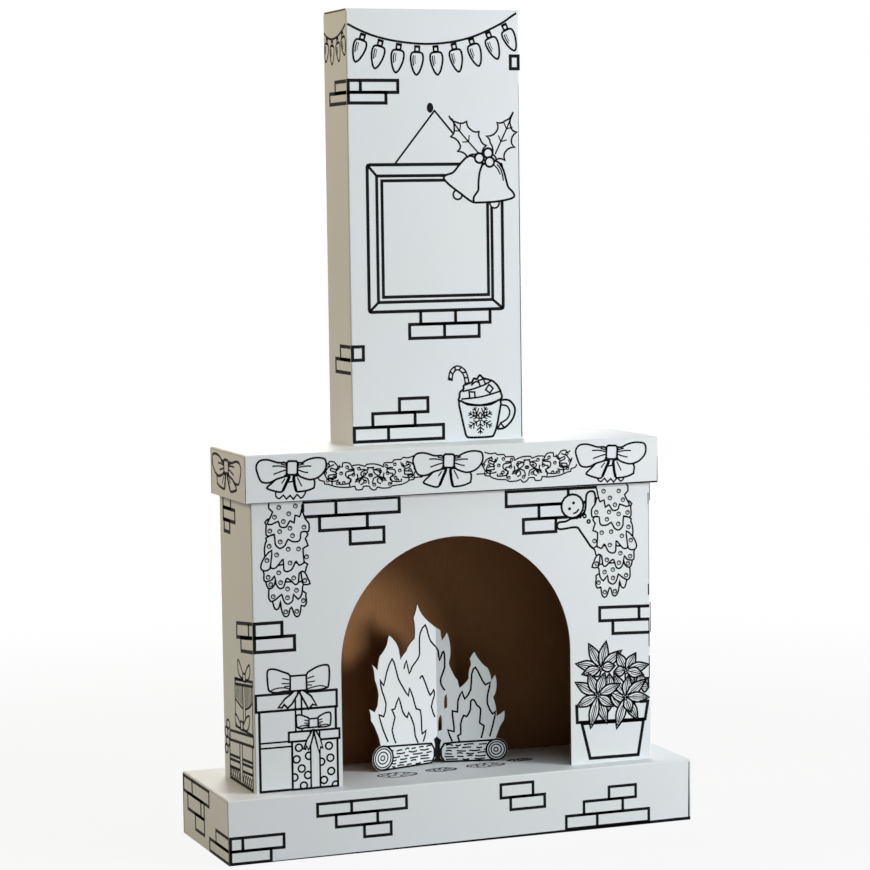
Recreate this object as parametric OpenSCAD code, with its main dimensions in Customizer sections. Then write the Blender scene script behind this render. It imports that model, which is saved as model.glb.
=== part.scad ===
// Toy fireplace of folded corrugated board: a hearth, a surround with an
// arched opening, a mantel, a chimney and a standing flame cut-out.
// Millimetres, +Z up, origin at the centre of the hearth's foot, front to -Y.

/* [Board] */
// Thickness of the corrugated board
board_t = 3; // [2:0.5:4]
// Outside radius of a folded edge
fold_r = 2.5; // [1:0.5:3]
// Width of a glued flap at a corner or a side joint
glue_w = 38; // [25:1:50]
// Length by which a flap stops short of the next fold
flap_trim = 2; // [1:0.5:5]
// Width of the open seam at a tray's corners
seam_w = 0.8; // [0.4:0.1:1.5]
// Depth of that seam
seam_d = 1.6; // [0.5:0.1:2]

/* [Tabs and slots] */
// Width of a tab that locks one box into the next
tab_w = 60; // [30:1:80]
// Length of a tab, past the board that it goes through
tab_l = 22; // [12:1:30]
// Clearance all round a tab in its slot
slot_gap = 0.5; // [0.3:0.1:1]

/* [Hearth] */
// Width of the hearth, end to end
hearth_w = 780; // [740:5:900]
// Depth of the hearth, front to back
hearth_d = 252; // [240:2:320]
// Height of the hearth
hearth_h = 100; // [60:1:140]

/* [Surround] */
// Width of the surround
surround_w = 672; // [600:2:700]
// Depth of the surround
surround_d = 164; // [140:2:180]
// Height of the surround, from the hearth's top to the mantel's underside
surround_h = 521; // [460:1:600]
// Distance from the hearth's front to the surround's front
surround_setback = 32; // [10:1:50]
// Length of the flaps folded in at the top of the sides
top_flap_l = 95; // [60:1:130]

/* [Arch] */
// Width of the arched opening
arch_w = 388; // [300:2:420]
// Height of the arch's straight sides, below its half round
arch_leg_h = 187; // [120:1:200]

/* [Mantel] */
// Height of the mantel's walls
mantel_h = 74; // [50:1:100]
// Room between the surround's sides and the mantel's end walls
mantel_end_gap = 6.5; // [4:0.5:10]
// Room between the surround's front and the mantel's front wall
mantel_front_gap = 7; // [5:0.5:15]
// Room between the surround's back and the mantel's back wall
mantel_back_gap = 9; // [5:0.5:15]

/* [Chimney] */
// Width of the chimney
chimney_w = 291; // [240:1:340]
// Depth of the chimney
chimney_d = 108; // [90:1:130]
// Height of the chimney above the mantel
chimney_h = 681; // [500:1:800]
// Length of the chimney's two dust flaps
dust_flap_l = 90; // [60:1:110]

/* [Flames] */
// Distance from the hearth's front to the flames' fold
flames_depth = 144; // [136:1:160]
// Distance of the flames' fold from the middle of the hearth
flames_shift = 6; // [-30:1:30]
// Angle by which each wing of the flames turns forwards
wing_turn = 15; // [5:1:20]
// Diameter of the left log's end
left_log_d = 42; // [30:1:50]
// Diameter of the right log's end
right_log_d = 37; // [30:1:50]
// Width of the tab under each log
log_tab_w = 36; // [20:1:50]

/* [Hidden] */
$fn = 48;
// A cut reaches this far past the board that it goes through
over = 1;
// A flap reaches this far into the board that it is folded from or glued to
lap = board_t / 4;
// Heights of the boxes' meeting planes
hearth_top = hearth_h;
surround_top = hearth_top + surround_h;
mantel_top = surround_top + board_t;
// Places from front to back
surround_front = -hearth_d / 2 + surround_setback;
surround_back = surround_front + surround_d;
surround_y = (surround_front + surround_back) / 2;
mantel_w = surround_w + 2 * (mantel_end_gap + board_t);
mantel_front = surround_front - mantel_front_gap - board_t;
mantel_back = surround_back + mantel_back_gap + board_t;
mantel_d = mantel_back - mantel_front;
mantel_y = (mantel_front + mantel_back) / 2;
// The chimney's back is flush with the mantel's back
chimney_y = mantel_back - chimney_d / 2;
flames_y = -hearth_d / 2 + flames_depth;
arch_r = arch_w / 2;
// Share of a tab's width that its free end is narrower by
tab_taper = 0.2;
card_white = [0.90, 0.92, 0.94];
card_shade = [0.86, 0.88, 0.90];
flame_white = [0.94, 0.94, 0.95];

// Height of the notch between the logs, where the two wings join, and of the fold's top
notch_h = 41;
fold_top_h = 221;
// Height of the notch's sloping sides
notch_side_h = 3;
// Each wing reaches this far past the fold, where it is mitred against the other
fold_lap = 1;
// Side outlines of the flames: [across from the fold, up, bow of the edge that follows].
// The left wing runs from the top of the fold out and down to its log.
left_wing = [
    [-fold_lap, fold_top_h, 0], [-9, 227.5, 0.03], [-26, 243, 0.05], [-36, 262, 0.04],
    [-43.5, 241, 0.05], [-42, 207, -0.08], [-59, 188, -0.05], [-70.5, 175.5, 0],
    [-74, 194, -0.06], [-83, 209, -0.06], [-92.5, 217, 0], [-96, 204, 0.06],
    [-110.5, 186, -0.04], [-115, 163.5, 0], [-125.5, 173.5, 0.05], [-121, 149, 0.04],
    [-114, 124, 0], [-116.5, 106, -0.05], [-121.5, 96.5, 0], [-132.5, 103, 0.05],
    [-129.5, 84, 0.05], [-119.5, 66, 0.04], [-112.5, 46, 0]
];
// The right wing runs from its log up and in to the top of the fold.
right_wing = [
    [96, 38, 0], [102, 54, 0.03], [109.5, 66, -0.04], [110.5, 82, 0.05],
    [97.5, 73, -0.05], [92.5, 104, -0.06], [98, 120, -0.05], [96, 141, 0],
    [90, 131.5, -0.04], [84, 152.5, 0.05], [72, 164, 0.04], [63, 179, -0.06],
    [55.5, 168, 0.04], [57, 158, -0.06], [53, 136, 0.05], [38, 121, 0.03],
    [35, 134, 0.06], [27, 147, 0.05], [21, 163, -0.06], [23.5, 191, -0.04],
    [18.5, 212, 0.03], [10.5, 199, 0.02], [8, 216, 0], [fold_lap, fold_top_h, 0]
];
// Distance from the fold to each log's inner end
log_gap = 5;
// Distance from the fold to the middle of each log's end, and the log's inner height
left_log_x = 107;
left_log_inner_h = 34;
right_log_x = 97;
right_log_inner_h = 32;
// The two cut-outs beside the fold: [across, up, width, height]
windows = [[5.5, 65, 6, 28], [15, 100, 5, 25]];
// Number of straight pieces in each bowed edge
edge_steps = 4;

// Points of an edge from a to b, bowed to its left by the share k of its length.
function bowed(a, b, k) = [
    for (i = [0 : edge_steps - 1])
        let (s = i / edge_steps, m = 4 * k * s * (1 - s))
            [a[0] + s * (b[0] - a[0]) - m * (b[1] - a[1]),
             a[1] + s * (b[1] - a[1]) + m * (b[0] - a[0])]
];

// Points of a run of edges; the last point ends the run.
function bowed_run(p) = [
    for (i = [0 : len(p) - 2]) each bowed(p[i], p[i + 1], p[i][2]),
    [p[len(p) - 1][0], p[len(p) - 1][1]]
];

// A plan with round corners, for a tube folded at its four upright edges.
module folded_plan(w, d, r) {
    square([w - 2 * r, d], center = true);
    square([w, d - 2 * r], center = true);
    for (x = [-1, 1], y = [-1, 1])
        translate([x * (w / 2 - r), y * (d / 2 - r)]) circle(r);
}

// A side outline with round top corners and a square foot.
module folded_side(w, h, r) {
    translate([-w / 2, 0]) square([w, h - r]);
    translate([-w / 2 + r, 0]) square([w - 2 * r, h]);
    for (x = [-1, 1]) translate([x * (w / 2 - r), h - r]) circle(r);
}

// A block whose top is joined to its four walls by folds.
module folded_block(w, d, h, r) {
    intersection() {
        rotate([90, 0, 0]) linear_extrude(d, center = true) folded_side(w, h, r);
        rotate([90, 0, 90]) linear_extrude(w, center = true) folded_side(d, h, r);
    }
}

// The four open seams, where the long walls' cut ends lap the end walls' folds.
module corner_seams(w, d, h) {
    for (x = [-1, 1], y = [-1, 1])
        translate([x * w / 2, y * (d / 2 - board_t - seam_w / 2), (h - fold_r) / 2 - over])
            cube([2 * seam_d, seam_w, h - fold_r], center = true);
}

// Flaps of the end walls, glued behind the long walls.
module corner_flaps(w, d, h) {
    flap_h = h - board_t - flap_trim;
    for (x = [-1, 1], y = [-1, 1])
        translate([x * (w / 2 - board_t - (glue_w - lap) / 2), y * (d / 2 - 1.5 * board_t + lap / 2),
                   h - board_t - (flap_h - lap) / 2])
            cube([glue_w + lap, board_t + lap, flap_h + lap], center = true);
}

// An upturned tray of one folded sheet, open underneath.
module tray(w, d, h) {
    difference() {
        folded_block(w, d, h, fold_r);
        translate([-w / 2 + board_t, -d / 2 + board_t, -over])
            cube([w - 2 * board_t, d - 2 * board_t, h - board_t + over]);
        corner_seams(w, d, h);
    }
    corner_flaps(w, d, h);
}

// A tab that points down from the plane z = 0, as wide as w, across X.
module tab(w) {
    reach = board_t + tab_l;
    rotate([90, 0, 0])
        linear_extrude(board_t, center = true)
            polygon([[-w / 2, over], [-w / 2, -board_t], [-w / 2 * (1 - tab_taper), -reach],
                     [w / 2 * (1 - tab_taper), -reach], [w / 2, -board_t], [w / 2, over]]);
}

// The slot that takes such a tab, through a board whose top is z = 0.
module slot(w) {
    translate([0, 0, -board_t / 2])
        cube([w + 2 * slot_gap, board_t + 2 * slot_gap, board_t + 2 * over], center = true);
}

// Places of the tabs under the surround: one in each side and one in the back.
module at_surround_tabs() {
    for (x = [-1, 1])
        translate([x * (surround_w - board_t) / 2, surround_y, hearth_top])
            rotate(90) children();
    translate([0, surround_back - board_t / 2, hearth_top]) children();
}

// Places of the tabs under the chimney's two sides.
module at_chimney_tabs() {
    for (x = [-1, 1])
        translate([x * (chimney_w - board_t) / 2, chimney_y, mantel_top])
            rotate(90) children();
}

// The frame of one wing of the flames: the fold at X = 0, the board's middle at Y = 0.
module at_wing(side) {
    translate([flames_shift, flames_y, hearth_top]) rotate(-side * wing_turn) children();
}

// Places of the tabs under the two logs.
module at_flame_tabs() {
    at_wing(-1) translate([-left_log_x + left_log_d / 2, 0, 0]) children();
    at_wing(1) translate([right_log_x - right_log_d / 2, 0, 0]) children();
}

module hearth() {
    color(card_shade)
        difference() {
            tray(hearth_w, hearth_d, hearth_h);
            at_surround_tabs() slot(tab_w);
            at_flame_tabs() slot(log_tab_w);
        }
}

// The arched opening, cut through the front panel only.
module arch_cut() {
    translate([0, surround_front + board_t + over, hearth_top])
        rotate([90, 0, 0])
            linear_extrude(board_t + 2 * over) {
                translate([-arch_r, -over]) square([arch_w, arch_leg_h + over]);
                translate([0, arch_leg_h]) circle(arch_r, $fn = 96);
            }
}

// The flap of the left side that is glued behind the back and closes a tube.
module joint_flap(inner_w, inner_d, h) {
    translate([-inner_w / 2 - lap, inner_d / 2 - board_t, flap_trim])
        cube([glue_w + lap, board_t + lap, h]);
}

// The tube of front, sides and back, folded in at the top of its sides.
module surround_tube() {
    inner_w = surround_w - 2 * board_t;
    inner_d = surround_d - 2 * board_t;
    translate([0, surround_y, hearth_top]) {
        linear_extrude(surround_h)
            difference() {
                folded_plan(surround_w, surround_d, fold_r);
                square([inner_w, inner_d], center = true);
            }
        for (x = [-1, 1])
            translate([x * (inner_w - top_flap_l + lap) / 2, 0, surround_h - board_t / 2])
                cube([top_flap_l + lap, inner_d - 2 * flap_trim, board_t], center = true);
        joint_flap(inner_w, inner_d, surround_h - board_t - 2 * flap_trim);
    }
}

module surround() {
    color(card_white) {
        difference() {
            surround_tube();
            arch_cut();
        }
        at_surround_tabs() tab(tab_w);
    }
}

module mantel() {
    color(card_shade)
        difference() {
            translate([0, mantel_y, mantel_top - mantel_h]) tray(mantel_w, mantel_d, mantel_h);
            at_chimney_tabs() slot(tab_w);
        }
}

// The tube of front, sides and back; its sides stop under the lid.
module chimney_tube() {
    inner_w = chimney_w - 2 * board_t;
    inner_d = chimney_d - 2 * board_t;
    linear_extrude(chimney_h - board_t)
        difference() {
            folded_plan(chimney_w, chimney_d, fold_r);
            square([inner_w, inner_d], center = true);
        }
    joint_flap(inner_w, inner_d, chimney_h - glue_w - 2 * board_t - 2 * flap_trim);
}

// The lid folds back from the front panel over two dust flaps, and tucks in.
module chimney_lid() {
    inner_w = chimney_w - 2 * board_t;
    inner_d = chimney_d - 2 * board_t;
    lid_d = chimney_d - board_t - seam_w;
    rotate([90, 0, 90])
        linear_extrude(chimney_w - seam_w, center = true)
            difference() {
                translate([-chimney_d / 2 + lid_d / 2, chimney_h - 2 * fold_r])
                    folded_side(lid_d, 2 * fold_r, fold_r);
                translate([-chimney_d, chimney_h - 3 * fold_r - board_t])
                    square([2 * chimney_d, 3 * fold_r]);
            }
    translate([0, (board_t - chimney_d) / 2, chimney_h - board_t])
        cube([inner_w, board_t - 2 * lap, 2 * lap], center = true);
    for (x = [-1, 1])
        translate([x * (inner_w - dust_flap_l + lap) / 2, -board_t, chimney_h - 1.5 * board_t])
            cube([dust_flap_l + lap, inner_d - 2 * board_t - flap_trim, board_t], center = true);
    translate([-inner_w / 2 + flap_trim, inner_d / 2 - board_t - seam_w, chimney_h - board_t - glue_w])
        cube([inner_w - 2 * flap_trim, board_t, glue_w + lap]);
}

module chimney() {
    color(card_white) {
        translate([0, chimney_y, mantel_top]) {
            chimney_tube();
            chimney_lid();
        }
        at_chimney_tabs() tab(tab_w);
    }
}

// A log's outline: a round end, and a body that narrows towards the fold.
module log_outline(x, d, inner_h) {
    translate([x, d / 2]) circle(d / 2);
    polygon([[x, 0], [log_gap + inner_h / 4, 0], [log_gap, inner_h / 4], [log_gap, 3 * inner_h / 4],
             [log_gap + inner_h / 4, inner_h], [x, d]]);
}

// A pointed cut-out, flame-shaped.
module window_outline(w) {
    translate([w[0], w[1]])
        polygon([[-w[2] / 2, -w[3] / 2], [w[2] / 2, -0.4 * w[3]], [w[2] / 2, 0.2 * w[3]],
                 [0.3 * w[2], w[3] / 2], [-0.3 * w[2], 0.3 * w[3]], [-w[2] / 2, 0]]);
}

module left_wing_outline() {
    polygon(concat([[fold_lap, notch_h], [fold_lap, fold_top_h]], bowed_run(left_wing),
                   [[-left_log_x, left_log_d / 2], [-log_gap, left_log_inner_h / 2],
                    [-log_gap, notch_h - notch_side_h], [-log_gap / 2, notch_h]]));
    mirror([1, 0]) log_outline(left_log_x, left_log_d, left_log_inner_h);
}

module right_wing_outline() {
    difference() {
        polygon(concat([[-fold_lap, fold_top_h], [-fold_lap, notch_h], [log_gap / 2, notch_h],
                        [log_gap, notch_h - notch_side_h], [log_gap, right_log_inner_h / 2],
                        [right_log_x, right_log_d / 2]], bowed_run(right_wing)));
        for (w = windows) window_outline(w);
    }
    log_outline(right_log_x, right_log_d, right_log_inner_h);
}

// One flat wing, standing on the hearth and mitred at the fold.
module wing(side) {
    room = 2 * left_log_x;
    intersection() {
        at_wing(side) rotate([90, 0, 0]) linear_extrude(board_t, center = true) children();
        translate([flames_shift + side * room / 2, flames_y, hearth_top + fold_top_h])
            cube([room, room, 2 * fold_top_h + room], center = true);
    }
}

module flames() {
    color(flame_white) {
        wing(-1) left_wing_outline();
        wing(1) right_wing_outline();
        at_flame_tabs() tab(log_tab_w);
    }
}

hearth();
surround();
mantel();
chimney();
flames();
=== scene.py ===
"""Looks of the folded-board toy fireplace: board, line print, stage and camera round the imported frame."""

import math
import random

import bpy
from mathutils import Matrix, Vector


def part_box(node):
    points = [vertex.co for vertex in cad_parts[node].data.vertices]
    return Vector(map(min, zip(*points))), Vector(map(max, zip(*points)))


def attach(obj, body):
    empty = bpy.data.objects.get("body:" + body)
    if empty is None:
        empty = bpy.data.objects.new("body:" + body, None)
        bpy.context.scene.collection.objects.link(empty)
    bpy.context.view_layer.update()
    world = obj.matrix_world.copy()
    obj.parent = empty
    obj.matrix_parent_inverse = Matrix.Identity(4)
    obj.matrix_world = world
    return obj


bl_info = {
    "name": "Folded Board Fireplace",
    "version": (1, 0, 0),
    "blender": (4, 5, 0),
    "location": "3D View > Sidebar > Fireplace",
    "description": "Dresses a toy fireplace of printed corrugated board",
    "category": "Object",
}

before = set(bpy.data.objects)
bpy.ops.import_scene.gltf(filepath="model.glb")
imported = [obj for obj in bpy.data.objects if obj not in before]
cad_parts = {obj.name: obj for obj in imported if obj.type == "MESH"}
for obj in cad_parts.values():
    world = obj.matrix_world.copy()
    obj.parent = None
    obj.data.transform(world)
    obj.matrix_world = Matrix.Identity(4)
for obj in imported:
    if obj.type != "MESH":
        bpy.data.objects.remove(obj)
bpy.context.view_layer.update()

# One millimetre in metres; the print is drawn in millimetres
MM = 0.001
X, Y, Z = Vector((1, 0, 0)), Vector((0, 1, 0)), Vector((0, 0, 1))

# Sizes of the board, as in the frame
BOARD_T = 3.0
FOLD_R = 2.5
LINER_T = 0.35
FLAME_FOLD = (6.0, 18.0)
WING_TURN = 15.0

# In millimetres: points nearer than this are one, a line whose ends are nearer than this is closed,
# and a rest of a cut line with at most three points is dropped where its ends are nearer than this
SAME_POINT, CLOSED_GAP, SHORTEST_REST = 0.05, 0.06, 0.4
# A line that turns back gets no mitre: the sum of the unit steps before and after the corner is
# shorter than the first number. The second is the least cosine that a mitre's reach is divided by
TURNED_BACK, MITRE_LIMIT = 0.3, 0.62

# The photograph's camera: place in millimetres, turns in radians, lens in millimetres
CAMERA_PLACE = (-1587.5, -4148.05, 1002.03)
CAMERA_YAW, CAMERA_PITCH, CAMERA_ROLL = 0.3662, -0.0828, -0.0138
CAMERA_LENS, CAMERA_SENSOR = 115.57, 36.0


class BoardSettings(bpy.types.PropertyGroup):
    """Finish of the corrugated board."""

    paper: bpy.props.FloatVectorProperty(
        name="Paper", description="Colour of the white printed liner", subtype="COLOR", size=3,
        min=0, max=1, default=(0.75, 0.80, 0.845))
    paper_cool: bpy.props.FloatVectorProperty(
        name="Paper Tint", description="Second tint that the white liner drifts to", subtype="COLOR",
        size=3, min=0, max=1, default=(0.745, 0.805, 0.815))
    kraft: bpy.props.FloatVectorProperty(
        name="Kraft", description="Colour of the brown inner liner", subtype="COLOR", size=3,
        min=0, max=1, default=(0.36, 0.175, 0.068))
    kraft_dark: bpy.props.FloatVectorProperty(
        name="Kraft Fibre", description="Colour of the darker fibres in the brown liner",
        subtype="COLOR", size=3, min=0, max=1, default=(0.22, 0.10, 0.036))
    flute_pitch: bpy.props.FloatProperty(
        name="Flute Pitch", description="Distance between two flutes, in millimetres",
        default=6.5, min=4, max=10)
    telegraph: bpy.props.FloatProperty(
        name="Flutes Through Liner", description="How far the flutes show through the liner",
        subtype="FACTOR", default=0.16, min=0, max=1)


class PrintSettings(bpy.types.PropertyGroup):
    """Black line print."""

    ink: bpy.props.FloatVectorProperty(
        name="Ink", description="Colour of the printed lines", subtype="COLOR", size=3,
        min=0, max=1, default=(0.004, 0.004, 0.005))
    film: bpy.props.FloatProperty(
        name="Ink Film", description="Height of the ink above the liner, in millimetres",
        default=0.14, min=0.05, max=0.4)
    bold: bpy.props.FloatProperty(
        name="Bold Line", description="Width of the brick and frame lines, in millimetres",
        default=5.2, min=2, max=8)
    line: bpy.props.FloatProperty(
        name="Line", description="Width of a figure's outline, in millimetres",
        default=3.5, min=1, max=5)
    fine: bpy.props.FloatProperty(
        name="Fine Line", description="Width of leaves and small figures, in millimetres",
        default=2.8, min=1, max=4)
    hair: bpy.props.FloatProperty(
        name="Hair Line", description="Width of creases, veins and bark, in millimetres",
        default=2.0, min=0.5, max=3)
    seed: bpy.props.IntProperty(
        name="Bark Seed", description="Seed for the bark strokes on the logs", default=13, min=0)


class StageSettings(bpy.types.PropertyGroup):
    """Floor, lamps and background."""

    key_power: bpy.props.FloatProperty(
        name="Key Lamp", description="Power of the large lamp at the front right", unit="POWER",
        default=138, min=0)
    fill_power: bpy.props.FloatProperty(
        name="Fill Lamp", description="Power of the warm lamp at the left", unit="POWER",
        default=41, min=0)
    top_power: bpy.props.FloatProperty(
        name="Top Lamp", description="Power of the large lamp overhead", unit="POWER", default=24, min=0)
    back_power: bpy.props.FloatProperty(
        name="Back Lamp", description="Power of the lamp behind the object", unit="POWER",
        default=60, min=0)
    ambient: bpy.props.FloatVectorProperty(
        name="Room Light", description="Light from all round", subtype="COLOR", size=3,
        min=0, max=1, default=(0.03, 0.031, 0.034))
    floor_glow: bpy.props.FloatProperty(
        name="Floor White", description="Share of plain white in the floor near the object",
        subtype="FACTOR", default=0.90, min=0, max=1)


class Face:
    """A flat outer face: millimetres along it and above it become a point in metres."""

    def __init__(self, origin, right, up, out):
        self.origin, self.right, self.up, self.out = Vector(origin), right, up, out
        self.flipped = right.cross(up).dot(out) < 0

    def point(self, a, b, rise=0.0):
        return self.origin + (self.right * a + self.up * b + self.out * rise) * MM


def box_face(node, side):
    """The named outer face of a node's box. Sides are measured back from the front corner."""
    low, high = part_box(node)
    if side == "front":
        return Face((0, low.y, 0), X, Z, -Y)
    if side == "left":
        return Face((low.x, low.y, 0), Y, Z, -X)
    if side == "right":
        return Face((high.x, low.y, 0), Y, Z, X)
    return Face((0, 0, high.z), X, Y, Z)


def wing_face(side):
    """The front of one wing of the flames, measured from the fold and the hearth's top."""
    turn = math.radians(-side * WING_TURN)
    right = Vector((math.cos(turn), math.sin(turn), 0))
    out = Vector((math.sin(turn), -math.cos(turn), 0))
    fold = Vector((*FLAME_FOLD, 0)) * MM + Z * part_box("hearth")[1].z
    return Face(fold + out * (BOARD_T / 2 * MM), right, Z, out)


def inside(spot, ring):
    """True where a spot lies inside a closed outline."""
    a, b = spot
    hit = False
    for (a1, b1), (a2, b2) in zip(ring, ring[1:] + ring[:1]):
        if (b1 > b) != (b2 > b) and a < (a2 - a1) * (b - b1) / (b2 - b1) + a1:
            hit = not hit
    return hit


def crossings(p, q, ring):
    """Shares of the way from p to q at which it crosses a closed outline, in order."""
    found = []
    da, db = q[0] - p[0], q[1] - p[1]
    for (a1, b1), (a2, b2) in zip(ring, ring[1:] + ring[:1]):
        ea, eb = a2 - a1, b2 - b1
        area = da * eb - db * ea
        if abs(area) < 1e-9:
            continue
        s = ((a1 - p[0]) * eb - (b1 - p[1]) * ea) / area
        t = ((a1 - p[0]) * db - (b1 - p[1]) * da) / area
        if 0 < s < 1 and 0 <= t < 1:
            found.append(s)
    return sorted(found)


def extent(points):
    """Lowest and highest corner of some points."""
    return (min(p[0] for p in points), min(p[1] for p in points),
            max(p[0] for p in points), max(p[1] for p in points))


def apart(one, other):
    """True where two extents don't meet."""
    return one[2] < other[0] or other[2] < one[0] or one[3] < other[1] or other[3] < one[1]


def smooth(points, steps=4, closed=False):
    """A curve through the points, with so many straight steps between two of them."""
    count = len(points)
    out = []
    for i in range(count if closed else count - 1):
        if closed:
            p0, p1, p2, p3 = (points[(i + k) % count] for k in (-1, 0, 1, 2))
        else:
            p0, p1, p2, p3 = (points[min(max(i + k, 0), count - 1)] for k in (-1, 0, 1, 2))
        for k in range(steps):
            t = k / steps
            out.append(tuple(
                0.5 * (2 * p1[j] + (p2[j] - p0[j]) * t
                       + (2 * p0[j] - 5 * p1[j] + 4 * p2[j] - p3[j]) * t * t
                       + (3 * p1[j] - p0[j] - 3 * p2[j] + p3[j]) * t ** 3)
                for j in (0, 1)))
    if not closed:
        out.append(tuple(points[-1]))
    return out


def oval(at, half_a, half_b=None, steps=16):
    """Points of an oval round a centre."""
    half_b = half_a if half_b is None else half_b
    turns = [math.tau * i / steps for i in range(steps)]
    return [(at[0] + half_a * math.cos(turn), at[1] + half_b * math.sin(turn)) for turn in turns]


def placed(points, at, scale=(1, 1), turn=0.0):
    """Points scaled, turned by degrees and moved to a place."""
    c, s = math.cos(math.radians(turn)), math.sin(math.radians(turn))
    return [(at[0] + a * scale[0] * c - b * scale[1] * s, at[1] + a * scale[0] * s + b * scale[1] * c)
            for a, b in points]


class Page:
    """Line print on one flat face. A nearer figure hides the lines that are already there."""

    def __init__(self, face):
        self.face = face
        self.lines = []
        self.spots = []

    def line(self, points, width):
        self.lines.append(([tuple(p) for p in points], width))

    def ring(self, points, width):
        self.line(list(points) + [points[0]], width)

    def spot(self, points):
        self.spots.append([tuple(p) for p in points])

    def clear(self, ring, keep=False):
        """Takes away what is inside an outline, or with keep what is outside it."""
        room = extent(ring)
        left = []
        for points, width in self.lines:
            if apart(extent(points), room):
                if not keep:
                    left.append((points, width))
                continue
            left.extend((piece, width) for piece in cut_line(points, ring, keep))
        self.lines = left
        self.spots = [s for s in self.spots if inside(s[0], ring) == keep]

    def shape(self, ring, width):
        """A closed figure: it hides what it covers, and then gets its own outline."""
        self.clear(ring)
        self.ring(ring, width)

    def box(self, low_a, low_b, high_a, high_b, width):
        self.shape(panel(low_a, low_b, high_a, high_b), width)


def cut_line(points, ring, keep):
    """The pieces of a line that lie outside a closed outline, or with keep inside it."""
    pieces, piece = [], []
    for p, q in zip(points, points[1:]):
        stops = [0.0, *crossings(p, q, ring), 1.0]
        for s, t in zip(stops, stops[1:]):
            m = (s + t) / 2
            if inside((p[0] + (q[0] - p[0]) * m, p[1] + (q[1] - p[1]) * m), ring) != keep:
                if piece:
                    pieces.append(piece)
                piece = []
                continue
            start = (p[0] + (q[0] - p[0]) * s, p[1] + (q[1] - p[1]) * s)
            end = (p[0] + (q[0] - p[0]) * t, p[1] + (q[1] - p[1]) * t)
            piece = (piece or [start]) + [end]
    if piece:
        pieces.append(piece)
    if len(pieces) > 1 and points[0] == points[-1] and pieces[0][0] == pieces[-1][-1]:
        pieces[0] = pieces.pop() + pieces[0][1:]
    return [p for p in pieces if math.dist(p[0], p[-1]) > SHORTEST_REST or len(p) > 3]


def tidy_points(points):
    """The points without those that lie on the one before."""
    out = [points[0]]
    for p in points[1:]:
        if math.dist(p, out[-1]) > SAME_POINT:
            out.append(p)
    return out


def band(points, width):
    """Left and right edge of a line of ink, with mitred joins, and whether it closes."""
    points = tidy_points(points)
    closed = len(points) > 3 and math.dist(points[0], points[-1]) < CLOSED_GAP
    if closed:
        points = points[:-1]
    count = len(points)
    if count < 2:
        return [], [], False
    ways = [(Vector(points[(i + 1) % count]) - Vector(points[i])).normalized() for i in range(count)]
    left, right = [], []
    for i, p in enumerate(points):
        after = ways[i] if closed or i < count - 1 else ways[i - 1]
        before = ways[i - 1] if closed or i > 0 else after
        middle = before + after
        middle = middle.normalized() if middle.length > TURNED_BACK else after
        reach = width / 2 / max(middle.dot(after), MITRE_LIMIT)
        side = Vector((-middle.y, middle.x)) * reach
        left.append(Vector(p) + side)
        right.append(Vector(p) - side)
    return left, right, closed


class Solid:
    """Vertices and faces of closed flat strips and plates, raised from a face."""

    def __init__(self):
        self.verts, self.faces = [], []

    def strip(self, face, points, width, low, high):
        left, right, closed = band(points, width)
        count = len(left)
        if count < 2:
            return
        base = len(self.verts)
        for l, r in zip(left, right):
            self.verts += [face.point(*spot, rise)
                           for spot, rise in ((l, low), (r, low), (r, high), (l, high))]
        for i in range(count if closed else count - 1):
            a, b = base + 4 * i, base + 4 * ((i + 1) % count)
            for k in range(4):
                self.face(face, (a + k, b + k, b + (k + 1) % 4, a + (k + 1) % 4))
        if not closed:
            end = base + 4 * (count - 1)
            self.face(face, (base, base + 1, base + 2, base + 3))
            self.face(face, (end + 3, end + 2, end + 1, end))

    def plate(self, face, ring, low, high):
        base, count = len(self.verts), len(ring)
        if sum(p[0] * q[1] - q[0] * p[1] for p, q in zip(ring, ring[1:] + ring[:1])) < 0:
            ring = ring[::-1]
        self.verts += [face.point(*p, low) for p in ring] + [face.point(*p, high) for p in ring]
        self.face(face, tuple(base + count + i for i in range(count)))
        self.face(face, tuple(base + count - 1 - i for i in range(count)))
        for i in range(count):
            j = (i + 1) % count
            self.face(face, (base + i, base + j, base + count + j, base + count + i))

    def face(self, face, corners):
        self.faces.append(tuple(reversed(corners)) if face.flipped else tuple(corners))

    def mesh(self, name):
        mesh = bpy.data.meshes.new(name)
        mesh.from_pydata(self.verts, [], self.faces)
        mesh.update()
        return mesh


def page_solid(page, solid=None):
    """The ink of a page as closed strips and plates."""
    solid = solid or Solid()
    film = bpy.context.scene.fireplace_print.film
    for points, width in page.lines:
        solid.strip(page.face, points, width, -film, film)
    for ring in page.spots:
        solid.plate(page.face, ring, -film, film)
    return solid


def add_piece(name, mesh, material):
    """Links a finished mesh as a piece that rides on the fireplace."""
    piece = bpy.data.objects.new(name, mesh)
    bpy.context.scene.collection.objects.link(piece)
    mesh.materials.clear()
    mesh.materials.append(material)
    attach(piece, "root")


def add_print(name, pages):
    """One piece of ink for the pages of one sheet."""
    solid = Solid()
    for page in pages:
        page_solid(page, solid)
    add_piece(name, solid.mesh(name), ink_material())


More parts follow.
